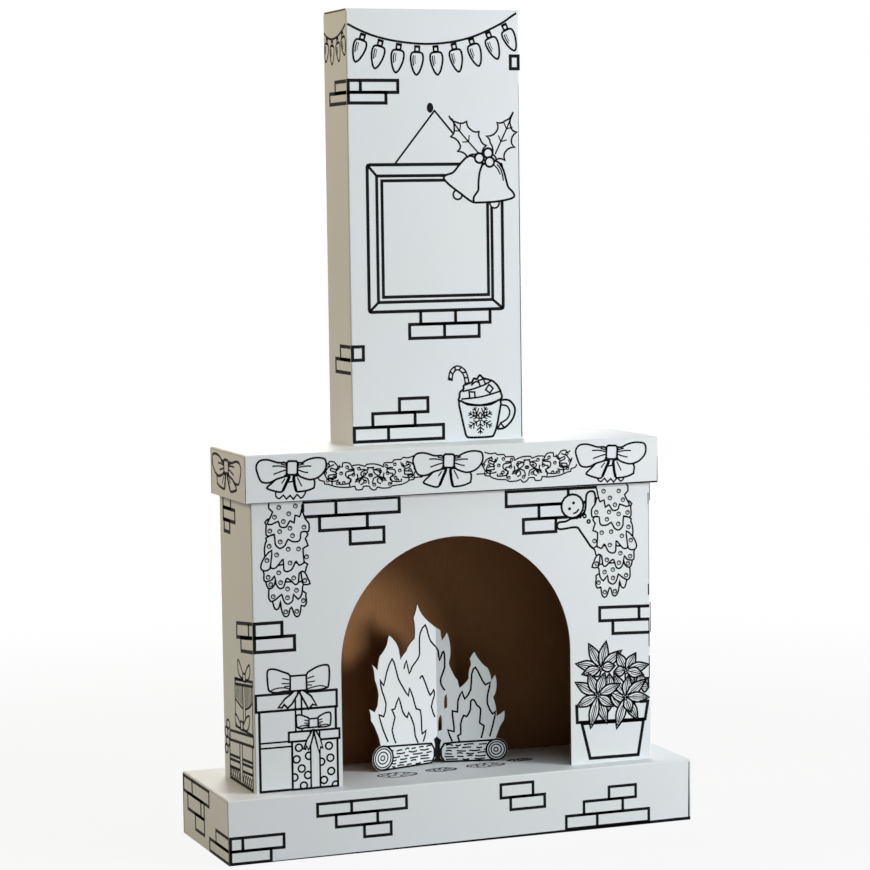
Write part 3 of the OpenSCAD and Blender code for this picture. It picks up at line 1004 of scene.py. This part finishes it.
# The wire of the string of lights on the chimney's front, and on its left side
LIGHT_WIRE = [(-143, 1281), (-122, 1271), (-93, 1261), (-56, 1254), (-14, 1251), (28, 1254), (70, 1264),
              (113, 1283), (132, 1295), (141, 1300.5)]
SIDE_WIRE = [(2.5, 1281), (16, 1273), (40, 1264), (68, 1261), (92, 1266), (105, 1273)]
# The stretch of each wire that carries bulbs; the side one runs from back to front
LIT_WIRE = [(-116, 1268.5), (-86, 1259), (-58, 1254), (-30, 1251), (1, 1251), (30, 1254.5), (57, 1261.5),
            (88, 1272), (118, 1285.5)]
LIT_SIDE_WIRE = [(90, 1265.5), (70, 1261), (45, 1263), (19, 1271)]


class FIREPLACE_OT_mantel_print(bpy.types.Operator):
    """Print bows and garlands along the mantel, and paint shadow along its lower edge and right corner"""

    bl_idname = "fireplace.mantel_print"
    bl_label = "Mantel Print"

    def execute(self, context):
        look = context.scene.fireplace_print
        front = Page(box_face("mantel", "front"))
        # Each curl and every third berry is also drawn in a mirror within the garland
        curls = SWAG_CURLS + [mirrored(curl, SWAG_MIDDLE) for curl in SWAG_CURLS]
        spots = SWAG_BERRIES + mirrored(SWAG_BERRIES[::3], SWAG_MIDDLE)
        # The second garland is the first one in a mirror at the middle bow
        for turned in (lambda points: points, lambda points: mirrored(points, BOW_MIDDLE)):
            for points in SWAG_EDGES + curls:
                front.line(smooth(turned(points), 2), look.hair * 1.1)
            berries(front, turned(spots), 2.3, look.hair * 0.8)
        for middle in (-272, 266):
            front.shape(smooth([(middle + a, b) for a, b in BOW_LEAVES], 2, closed=True), look.fine * 0.9)
        for at, scale, tails in (((-271, 602), (0.96, 1.0), 0.86), ((-14, 601), (1.0, 1.0), 1.0),
                                 ((265, 602), (1.05, 1.03), 0.98)):
            bow(front, at, scale, tails, (look.fine * 1.1, look.hair))
        front.clear(panel(-344, 551.5, 344, 623), keep=True)
        # Painted shadow: a dark line of ink along the lower edge and the right corner, where shade falls
        front.spot([(-344, 550.2), (345, 550.2), (345, 552.8), (-344, 551.0)])
        front.spot([(344.2, 552), (345.4, 552), (345.4, 592), (344.9, 592)])
        left = Page(box_face("mantel", "left"))
        bow(left, (102, 599), (1.3, 1.0), 0.85, (look.line * 1.15, look.hair * 1.3), 0.0)
        right = Page(box_face("mantel", "right"))
        bow(right, (102, 599), (1.3, 1.0), 0.85, (look.line * 1.15, look.hair * 1.3), 0.0)
        add_print("mantel_print", [front, left, right])
        return {"FINISHED"}


class FIREPLACE_OT_surround_print(bpy.types.Operator):
    """Print presents, a potted plant, garlands and bricks round the arch, with painted fold shade"""

    bl_idname = "fireplace.surround_print"
    bl_label = "Surround Print"

    def execute(self, context):
        look = context.scene.fireplace_print
        front = Page(box_face("surround", "front"))
        bricks(front, [(-252, 524.5, -198, 547.5), (-198, 524.5, -94, 547.5), (-225, 502, -147, 524.5),
                       (-175.5, 478.5, -120, 502), (86, 523, 193, 546.5), (193, 523, 250, 546.5),
                       (142, 501, 200, 523), (115, 479, 171, 501), (-333.5, 342, -289, 364),
                       (-333.5, 320, -269, 342)], look.bold)
        front.shape([(246, 330.5), (340, 327.5), (340, 349), (246, 352)], look.bold)
        front.shape([(269, 308.5), (340, 306), (340, 327.5), (269, 329.8)], look.bold)
        front.line([(315.5, 350), (315.5, 328.5)], look.bold)
        ginger_figure(front, (look.line, look.fine))
        # The right garland is the left one in a mirror
        for turned in (lambda points: points, lambda points: mirrored(points, DROP_MIDDLE, DROP_RISE)):
            for layer in DROP_LAYERS:
                front.shape(smooth(turned(layer), 2, closed=True), look.fine * 0.95)
            berries(front, turned(DROP_BERRIES), 3.1, look.hair * 0.85)
        gift_stack(front, (look.bold, look.line, look.fine, look.hair))
        potted_plant(front, (look.bold, look.fine, look.hair))
        front.clear(panel(-335.5, 100.5, 334, 556), keep=True)
        # Painted shade: thin dark marks of ink along the right fold, standing in for the shade at that edge
        fold = 333.8
        for low, high, width in ((515, 533, 1.4), (367, 385, 2.2), (283, 327, 1.6), (231, 268, 1.6),
                                 (385, 515, 0.6)):
            front.spot(panel(fold - width, low, fold, high))
        side = look.bold * 1.1
        left = Page(box_face("surround", "left"))
        bricks(left, [(104, 531, 144, 549), (82, 512, 144, 531), (110, 494, 140, 512)], side)
        left.shape([(-8, 365), (83, 355), (84, 333), (-8, 343)], side)
        left.shape([(-8, 343), (63, 334.5), (62, 314), (-8, 321)], side)
        left.line([(21, 362), (21, 340)], side * 1.2)
        left.clear(panel(2.3, 100, 170, 620), keep=True)
        self.side_gifts(left, look)
        right = Page(box_face("surround", "right"))
        bricks(right, [(2.5, 523, 58, 546.5), (2.5, 331, 40, 352.5), (2.5, 309, 66, 331)], look.bold)
        self.side_gifts(right, look)
        add_print("surround_print", [front, left, right])
        return {"FINISHED"}

    def side_gifts(self, page, look):
        """The two presents on one side of the surround, the tall one behind the wide one."""
        line, fine = look.line * 1.3, look.fine * 1.25
        for at, half_a, half_b in (((140, 186), 9, 7), ((150, 172), 8, 8), ((143, 158), 10, 7),
                                   ((151, 145), 8, 7)):
            page.ring(oval(at, half_a, half_b, 12), fine)
        page.shape([(99, 266), (8, 272), (8, 190), (99, 190)], fine)
        for i in range(13):
            a = 13 + 6.6 * i
            page.line([(a, 268), (a, 236 - 8 * math.sin(math.pi * i / 12))], look.hair * 1.3)
        page.line(smooth([(99, 234), (75, 227), (58, 224)], 3), fine)
        page.line(smooth([(8, 241), (25, 231), (44, 225)], 3), fine)
        page.clear(panel(46, 195, 57, 262))
        for a in (46, 57):
            page.line([(a, 195), (a, 262)], fine)
        page.shape([(97, 264.5), (6, 273.5), (6, 266.5), (97, 257)], line)
        for loop in ([(52, 272), (60, 284), (79, 298), (82, 286), (74, 274)],
                     [(46, 272), (40, 285), (22, 298), (18, 286), (28, 274)]):
            page.shape(smooth(loop, 3, closed=True), fine)
        page.box(43, 268, 56, 280, fine)
        page.shape([(133, 170), (12, 177), (12, 102.5), (133, 102.5)], line)
        for rise in (134, 127, 115):
            page.line([(133, rise + 5), (12, rise + 12)], line)
        for i in range(11):
            a = 20 + 10.5 * i
            page.line([(a - 4, 104), (a + 5, 121)], look.hair * 1.25)
            page.line([(a + 5, 104), (a - 4, 121)], look.hair * 1.25)
        page.clear(panel(66, 104, 79, 172))
        for a in (66, 79):
            page.line([(a, 103), (a, 172)], fine)
        page.shape([(131, 178), (6, 188.5), (6, 172.5), (131, 163)], line)
        for loop in ([(72, 194), (86, 190), (98, 196), (101, 208), (88, 206)],
                     [(60, 194), (44, 191), (30, 199), (25, 217), (42, 212)]):
            page.shape(smooth(loop, 3, closed=True), fine)
        page.box(60, 189, 73, 202, fine)


class FIREPLACE_OT_hearth_print(bpy.types.Operator):
    """Print bricks on the hearth and embers on its top, and paint a shadow line along its foot"""

    bl_idname = "fireplace.hearth_print"
    bl_label = "Hearth Print"

    def execute(self, context):
        look = context.scene.fireplace_print
        front = Page(box_face("hearth", "front"))
        bricks(front, [(-387.5, 21.5, -368, 42), (-368, 21.5, -302, 42), (-387.5, 2.3, -323, 21.5),
                       (-247, 64, -191.5, 83), (-191.5, 64, -101, 83), (-217, 44.5, -149, 64),
                       (-171, 25, -127, 44.5), (58, 65, 113, 86.5), (74.5, 45, 133, 65),
                       (245, 46.5, 292, 66.5), (201, 25.5, 269, 46.5), (170, 4.5, 224, 25.5),
                       (224, 4.5, 315, 25.5)], look.bold * 0.9)
        # Painted shadow: a dark line of ink along the foot and the right corner, where shade falls
        front.spot([(-388, 0.3), (389, 0.3), (389, 5.4), (-388, 1.2)])
        front.spot([(385.4, 3), (388.0, 3), (388.0, 95), (386.8, 95)])
        left = Page(box_face("hearth", "left"))
        bricks(left, [(198, 71, 246, 95), (104, 71, 198, 95), (150, 45, 224, 71), (132, 45, 150, 71),
                      (132, 20, 182, 45), (-8, 21.5, 69, 42), (-8, 2.6, 104, 21.5)], look.bold)
        left.clear(panel(2.3, 0.5, 260, 98), keep=True)
        right = Page(box_face("hearth", "right"))
        bricks(right, [(120, 66, 176, 93), (176, 66, 232, 93), (146, 41, 206, 66)], look.bold * 0.9)
        top = Page(box_face("hearth", "top"))
        for at, half_a, half_b in (((-86, -46), 31, 17), ((-8, -38), 24, 13), ((70, -34), 31, 14),
                                   ((136, -18), 20, 9)):
            self.embers(top, at, half_a, half_b, look)
        add_print("hearth_print", [front, left, right, top])
        return {"FINISHED"}

    def embers(self, page, at, half_a, half_b, look):
        """A flat heap of ash: a wavy oval with short curved strokes in it."""
        edge = [(a + 1.6 * math.sin(5 * i), b + 1.2 * math.cos(4 * i))
                for i, (a, b) in enumerate(oval(at, half_a, half_b, 14))]
        page.shape(smooth(edge, 2, closed=True), look.line)
        strokes = ((-0.7, 0.1), (-0.45, -0.4), (-0.35, 0.45), (-0.1, -0.05), (0.1, 0.5), (0.2, -0.5),
                   (0.45, 0.0), (0.6, 0.4), (0.72, -0.2))
        for i, (da, db) in enumerate(strokes):
            middle = (at[0] + da * half_a, at[1] + db * half_b)
            page.line(smooth(placed([(-5, -2), (0, 3), (6, 0)], middle, turn=20 * i), 3), look.fine)


# The lines inside the flames, on the left wing and on the right one: across from the fold, and up
LEFT_FLAME_LINES = [
    [(-97, 46), (-106, 66), (-114, 92), (-105, 88), (-100, 108), (-107, 128), (-111, 148), (-104, 138),
     (-98, 158), (-87, 179), (-80, 162), (-75, 145), (-66, 130), (-56, 116), (-54, 128), (-47, 112),
     (-41, 93), (-33, 90), (-31, 70), (-30, 51), (-22, 56), (-28, 38)],
    [(-64, 160), (-59, 173), (-54, 152), (-48, 162), (-38, 172), (-33, 181), (-33, 197), (-31, 215),
     (-21, 227), (-15, 210), (-10, 199), (0, 189)],
    [(-33, 141), (-28, 145), (-20, 127), (-13, 112), (-6, 120), (-5, 110), (-11, 93), (-4, 75)],
    [(-82, 42), (-89, 64), (-83, 84), (-89, 97), (-83, 98), (-75, 115), (-68, 92), (-59, 81), (-56, 89),
     (-46, 67), (-44, 50), (-38, 37)],
]
RIGHT_FLAME_LINES = [
    [(25, 34), (18, 53), (28, 50), (27, 67), (26, 84), (34, 82), (35, 100), (42, 115), (46, 103), (56, 118),
     (58, 143), (64, 154), (72, 139), (80, 125), (88, 129), (84, 111), (83, 94), (91, 77), (96, 81),
     (92, 61), (86, 40)],
    [(37, 33), (34, 43), (39, 46), (39, 62), (44, 76), (49, 74), (55, 85), (56, 99), (61, 101), (66, 92),
     (72, 85), (70, 63), (77, 58), (72, 38)],
    [(0, 189), (4, 183), (6, 167), (11, 180), (14, 178), (14, 155), (8, 139), (8, 128), (14, 118)],
]


class FIREPLACE_OT_flame_print(bpy.types.Operator):
    """Print the inner flames and the two logs on the flame cut-out, with painted shade at the fold"""

    bl_idname = "fireplace.flame_print"
    bl_label = "Flame Print"

    def execute(self, context):
        look = context.scene.fireplace_print
        chance = random.Random(look.seed)
        pages = []
        for side, lines in ((-1, LEFT_FLAME_LINES), (1, RIGHT_FLAME_LINES)):
            page = Page(wing_face(side))
            for points in lines:
                page.line(smooth(points, 2), look.fine)
            middle, ring, inner = ((-107, 21), 19.2, 33) if side < 0 else ((97, 18.5), 16.8, 31)
            self.log(page, side, middle, ring, inner, chance, look)
            pages.append(page)
        add_print("flame_print", pages)
        return {"FINISHED"}

    def log(self, page, side, middle, ring, inner, chance, look):
        """A log lying on its side: its body to the fold, bark strokes and a ringed end."""
        body = [(middle[0], 1.6), (side * 12, 1.6), (side * 6.5, inner / 3), (side * 6.5, inner * 0.72),
                (side * 12, inner), (side * 30, inner + 1.5), (middle[0], 2 * middle[1] - 2.5)]
        # Painted shade: a dark patch of ink between the log and the fold, where the recess lies in shade
        page.spot([(side * 0.4, 3), (side * 4.6, 3), (side * 4.2, inner - 4), (side * 7, inner + 6),
                   (side * 0.4, inner + 11)])
        page.shape(body, look.fine * 1.1)
        reach = abs(middle[0])
        for row in range(6):
            up = 5 + row * (inner - 8) / 5
            a = 10 + chance.uniform(0, 8)
            while a < reach - ring:
                run = chance.uniform(8, 20)
                end = min(a + run, reach - ring + 2)
                page.line(smooth([(side * a, up), (side * (a + end) / 2, up + chance.uniform(-1.5, 1.5)),
                                  (side * end, up + chance.uniform(-1, 1))], 2), look.hair * 1.15)
                a = end + chance.uniform(4, 9)
        page.shape(oval(middle, ring, steps=24), look.fine * 1.1)
        page.ring(oval(middle, ring - 4, steps=24), look.hair)
        page.ring(oval((middle[0] - 0.5, middle[1] + 0.4), ring * 0.5, steps=18), look.hair)
        page.ring(oval((middle[0] - 1, middle[1] + 0.2), ring * 0.2, steps=12), look.hair)


def repeat_tree():
    """Geometry nodes that hang a motif at even steps along a path, turned with the path."""
    found = bpy.data.node_groups.get("motif_along_path")
    if found:
        return found
    tree = bpy.data.node_groups.new("motif_along_path", "GeometryNodeTree")
    ask = tree.interface.new_socket
    ask("Path", in_out="INPUT", socket_type="NodeSocketGeometry")
    ask("Motif", in_out="INPUT", socket_type="NodeSocketObject")
    ask("Count", in_out="INPUT", socket_type="NodeSocketInt")
    ask("Inward", in_out="INPUT", socket_type="NodeSocketVector")
    ask("Ink", in_out="INPUT", socket_type="NodeSocketMaterial")
    ask("Copies", in_out="OUTPUT", socket_type="NodeSocketGeometry")
    given = Wire(tree).add("NodeGroupInput")
    inputs = {s.name: Wire(tree, s) for s in given.socket.node.outputs}
    curve = given.add("GeometryNodeMeshToCurve", None, {"Mesh": inputs["Path"]})
    steps = given.add("GeometryNodeResampleCurve", None, {"Curve": curve, "Count": inputs["Count"]})
    tangent = given.add("GeometryNodeInputTangent")
    turned = given.add("FunctionNodeAlignRotationToVector", {"axis": "X"}, {"Vector": tangent})
    turned = given.add("FunctionNodeAlignRotationToVector", {"axis": "Y", "pivot_axis": "X"},
                       {"Rotation": turned, "Vector": inputs["Inward"]})
    motif = Wire(tree, given.add("GeometryNodeObjectInfo", None, {"Object": inputs["Motif"]}).socket.node
                 .outputs["Geometry"])
    copies = given.add("GeometryNodeInstanceOnPoints", None, {
        "Points": steps, "Instance": motif, "Rotation": turned})
    whole = given.add("GeometryNodeRealizeInstances", None, {"Geometry": copies})
    inked = given.add("GeometryNodeSetMaterial", None, {"Geometry": whole, "Material": inputs["Ink"]})
    given.add("NodeGroupOutput", None, {"Copies": inked})
    return tree


def motif_mesh(draw, name):
    """A motif drawn round the origin, facing the front, as a mesh."""
    page = Page(Face((0, 0, 0), X, Z, -Y))
    draw(page)
    return page_solid(page).mesh(name)


def along_path(points, face, motif, count):
    """A mesh of so many copies of a motif along a path on a face."""
    path = bpy.data.meshes.new("path")
    places = [face.point(*p) for p in points]
    path.from_pydata(places, [(i, i + 1) for i in range(len(places) - 1)], [])
    holder = bpy.data.objects.new("path", path)
    pattern = bpy.data.objects.new("motif", motif)
    for scratch in (holder, pattern):
        bpy.context.scene.collection.objects.link(scratch)
    tree = repeat_tree()
    modifier = holder.modifiers.new("Copies", "NODES")
    modifier.node_group = tree
    given = {"Motif": pattern, "Count": count, "Inward": tuple(-face.out), "Ink": ink_material()}
    for item in tree.interface.items_tree:
        if item.name in given and item.in_out == "INPUT":
            modifier[item.identifier] = given[item.name]
    depsgraph = bpy.context.evaluated_depsgraph_get()
    made = bpy.data.meshes.new_from_object(holder.evaluated_get(depsgraph))
    for scratch in (holder, pattern):
        bpy.data.objects.remove(scratch)
    return made


def joined(meshes, name):
    """One mesh of several."""
    solid = Solid()
    for mesh in meshes:
        base = len(solid.verts)
        solid.verts += [v.co.copy() for v in mesh.vertices]
        solid.faces += [tuple(base + i for i in p.vertices) for p in mesh.polygons]
        bpy.data.meshes.remove(mesh)
    return solid.mesh(name)


class FIREPLACE_OT_lights(bpy.types.Operator):
    """Hang the printed light bulbs along their wire"""

    bl_idname = "fireplace.lights"
    bl_label = "Light Bulbs"

    def execute(self, context):
        look = context.scene.fireplace_print

        def bulb(page):
            half = [(-3.5, -13), (-8.5, -14.5), (-10.5, -21), (-9.3, -31), (-5.5, -42), (-1.5, -47.5)]
            page.ring(smooth(half + mirrored(half, 0)[::-1], 3, closed=True), look.fine * 1.15)
            page.ring([(-3.6, -12), (-3.6, -4.5), (3.6, -4.5), (3.6, -12)], look.fine * 1.1)
            page.spot([(-5, -5.5), (-5, -2), (5, -2), (5, -5.5)])
            page.line(smooth([(-6, -18), (-6.5, -25), (-5, -34)], 3), look.hair)
            page.line(smooth([(-3, -18), (-3.2, -25), (-2.5, -31)], 3), look.hair * 0.6)

        def small_bulb(page):
            bulb(page)
            page.lines = [(placed(points, (0, 0), (0.95, 0.82)), width) for points, width in page.lines]
            page.spots = [placed(ring, (0, 0), (0.95, 0.82)) for ring in page.spots]

        front, left = box_face("chimney", "front"), box_face("chimney", "left")
        meshes = [along_path(smooth(LIT_WIRE, 6), front, motif_mesh(bulb, "bulb"), 9),
                  along_path(smooth(LIT_SIDE_WIRE, 6), left, motif_mesh(small_bulb, "small_bulb"), 4)]
        add_piece("light_bulbs", joined(meshes, "light_bulbs"), ink_material())
        return {"FINISHED"}


class FIREPLACE_OT_small_repeats(bpy.types.Operator):
    """Repeat the snowflake's arms and the cane's stripes"""

    bl_idname = "fireplace.small_repeats"
    bl_label = "Snowflake and Cane Stripes"

    def execute(self, context):
        look = context.scene.fireplace_print

        def arm(page):
            page.line([(0, 0), (0, 22)], look.hair)
            for up, reach in ((6, 5), (11, 6.5), (17, 4)):
                page.line([(-reach, up + reach * 0.8), (0, up), (reach, up + reach * 0.8)], look.hair)

        def stripe(page):
            page.line([(-1.6, -3), (1.2, 3)], look.hair * 1.3)

        front = box_face("chimney", "front")
        flake = [(71 + math.sin(math.tau * i / 24), 657 + math.cos(math.tau * i / 24)) for i in range(25)]
        cane = smooth([(50, 716), (46.5, 728), (41, 737), (32, 741), (24, 735), (20.5, 724)], 5)
        meshes = [along_path(flake, front, motif_mesh(arm, "arm"), 7),
                  along_path(cane, front, motif_mesh(stripe, "stripe"), 7)]
        name = "snowflake_and_stripes"
        add_piece(name, joined(meshes, name), ink_material())
        return {"FINISHED"}


# The lamps: name, place, target and size in metres, the setting that holds the power, and colour
LAMPS = (
    ("key_lamp", (2.9, -2.5, 1.24), (0, 0, 0.55), 1.2, "key_power", (1.0, 0.99, 0.985)),
    ("fill_lamp", (-2.6, 0.9, 2.3), (-0.3, 0, 0.6), 1.4, "fill_power", (1.0, 0.78, 0.47)),
    ("top_lamp", (0.2, -0.9, 3.5), (0, 0, 0.4), 1.4, "top_power", (1.0, 0.995, 0.99)),
    ("back_lamp", (1.1, 3.4, 1.3), (0, 0, 0.6), 1.4, "back_power", (1.0, 0.98, 0.95)),
)


def seen_mask(start):
    """1 for camera, glossy and transmission rays, and 0 for the others."""
    rays = start.add("ShaderNodeLightPath").socket.node.outputs
    seen = Wire(start.tree, rays["Is Camera Ray"])
    for name in ("Is Glossy Ray", "Is Transmission Ray"):
        seen = seen.most(Wire(start.tree, rays[name]))
    return seen


class FIREPLACE_OT_stage(bpy.types.Operator):
    """Set the pale floor, the lamps, the background and the camera"""

    bl_idname = "fireplace.stage"
    bl_label = "Stage"

    def execute(self, context):
        looks = context.scene.fireplace_stage
        self.floor(looks)
        self.world(looks)
        for name, place, target, size, power, colour in LAMPS:
            self.lamp(name, place, target, size, getattr(looks, power), colour)
        self.camera()
        context.scene.view_settings.view_transform = "Standard"
        return {"FINISHED"}

    def floor(self, looks):
        half, low = 6.0, -0.0002
        mesh = bpy.data.meshes.new("floor")
        mesh.from_pydata([(-half, -half, low), (half, -half, low), (half, half, low), (-half, half, low)],
                         [], [(0, 1, 2, 3)])
        floor = bpy.data.objects.new("floor", mesh)
        bpy.context.scene.collection.objects.link(floor)
        material, start = new_material("pale_floor")
        place = start.add("ShaderNodeTexCoord", out=3)
        away = start.add("ShaderNodeVectorMath", {"operation": "LENGTH"}, {0: place}, out=1)
        share = seen_mask(start) * (looks.floor_glow + (1 - looks.floor_glow) * away.rise(1.0, 2.6))
        plain = start.add("ShaderNodeBsdfDiffuse", None, {"Color": (0.5, 0.5, 0.5, 1)})
        white = start.add("ShaderNodeEmission", None, {"Color": (1, 1, 1, 1), "Strength": 1.0})
        mixed = start.add("ShaderNodeMixShader", None, {0: share, 1: plain, 2: white})
        start.add("ShaderNodeOutputMaterial", None, {"Surface": mixed})
        mesh.materials.append(material)

    def world(self, looks):
        world = bpy.data.worlds.new("soft_room")
        world.use_nodes = True
        world.node_tree.nodes.clear()
        start = Wire(world.node_tree)
        room = start.add("ShaderNodeBackground", None, {"Color": (*looks.ambient, 1), "Strength": 1.0})
        white = start.add("ShaderNodeBackground", None, {"Color": (1, 1, 1, 1), "Strength": 1.0})
        mixed = start.add("ShaderNodeMixShader", None, {0: seen_mask(start), 1: room, 2: white})
        start.add("ShaderNodeOutputWorld", None, {"Surface": mixed})
        bpy.context.scene.world = world

    def lamp(self, name, place, target, size, power, colour):
        data = bpy.data.lights.new(name, "AREA")
        data.shape, data.size, data.energy, data.color = "SQUARE", size, power, colour
        lamp = bpy.data.objects.new(name, data)
        lamp.location = place
        lamp.rotation_mode = "QUATERNION"
        lamp.rotation_quaternion = (Vector(target) - Vector(place)).to_track_quat("-Z", "Y")
        bpy.context.scene.collection.objects.link(lamp)

    def camera(self):
        data = bpy.data.cameras.new("camera")
        data.lens, data.sensor_width, data.sensor_fit = CAMERA_LENS, CAMERA_SENSOR, "HORIZONTAL"
        data.clip_start, data.clip_end = 0.1, 60
        ahead = Vector((math.sin(CAMERA_YAW) * math.cos(CAMERA_PITCH),
                        math.cos(CAMERA_YAW) * math.cos(CAMERA_PITCH), math.sin(CAMERA_PITCH)))
        level = Vector((math.cos(CAMERA_YAW), -math.sin(CAMERA_YAW), 0))
        upright = level.cross(ahead)
        right = level * math.cos(CAMERA_ROLL) + upright * math.sin(CAMERA_ROLL)
        up = upright * math.cos(CAMERA_ROLL) - level * math.sin(CAMERA_ROLL)
        camera = bpy.data.objects.new("camera", data)
        turn = Matrix((right, up, -ahead)).transposed().to_4x4()
        camera.matrix_world = Matrix.Translation(Vector(CAMERA_PLACE) * MM) @ turn
        bpy.context.scene.collection.objects.link(camera)
        bpy.context.scene.camera = camera


class FIREPLACE_PT_pieces(bpy.types.Panel):
    """The fireplace's pieces, in the order in which they are made"""

    bl_label = "Fireplace"
    bl_idname = "FIREPLACE_PT_pieces"
    bl_space_type = "VIEW_3D"
    bl_region_type = "UI"
    bl_category = "Fireplace"

    def draw(self, context):
        for settings in (context.scene.fireplace_board, context.scene.fireplace_print,
                         context.scene.fireplace_stage):
            box = self.layout.box()
            for key in settings.__annotations__:
                box.prop(settings, key)
        for piece in PIECES:
            self.layout.operator(piece.bl_idname)


PIECES = (FIREPLACE_OT_stage, FIREPLACE_OT_board, FIREPLACE_OT_chimney_print, FIREPLACE_OT_mantel_print,
          FIREPLACE_OT_surround_print, FIREPLACE_OT_hearth_print, FIREPLACE_OT_flame_print,
          FIREPLACE_OT_lights, FIREPLACE_OT_small_repeats)
SETTINGS = {"fireplace_board": BoardSettings, "fireplace_print": PrintSettings,
            "fireplace_stage": StageSettings}


def register():
    for cls in (*SETTINGS.values(), *PIECES, FIREPLACE_PT_pieces):
        bpy.utils.register_class(cls)
    for name, cls in SETTINGS.items():
        setattr(bpy.types.Scene, name, bpy.props.PointerProperty(type=cls))


def unregister():
    for name in SETTINGS:
        delattr(bpy.types.Scene, name)
    for cls in reversed((*SETTINGS.values(), *PIECES, FIREPLACE_PT_pieces)):
        bpy.utils.unregister_class(cls)


def main():
    """Makes every piece in order."""
    register()
    for piece in PIECES:
        group, name = piece.bl_idname.split(".")
        getattr(getattr(bpy.ops, group), name)()


if __name__ == "__main__":
    main()
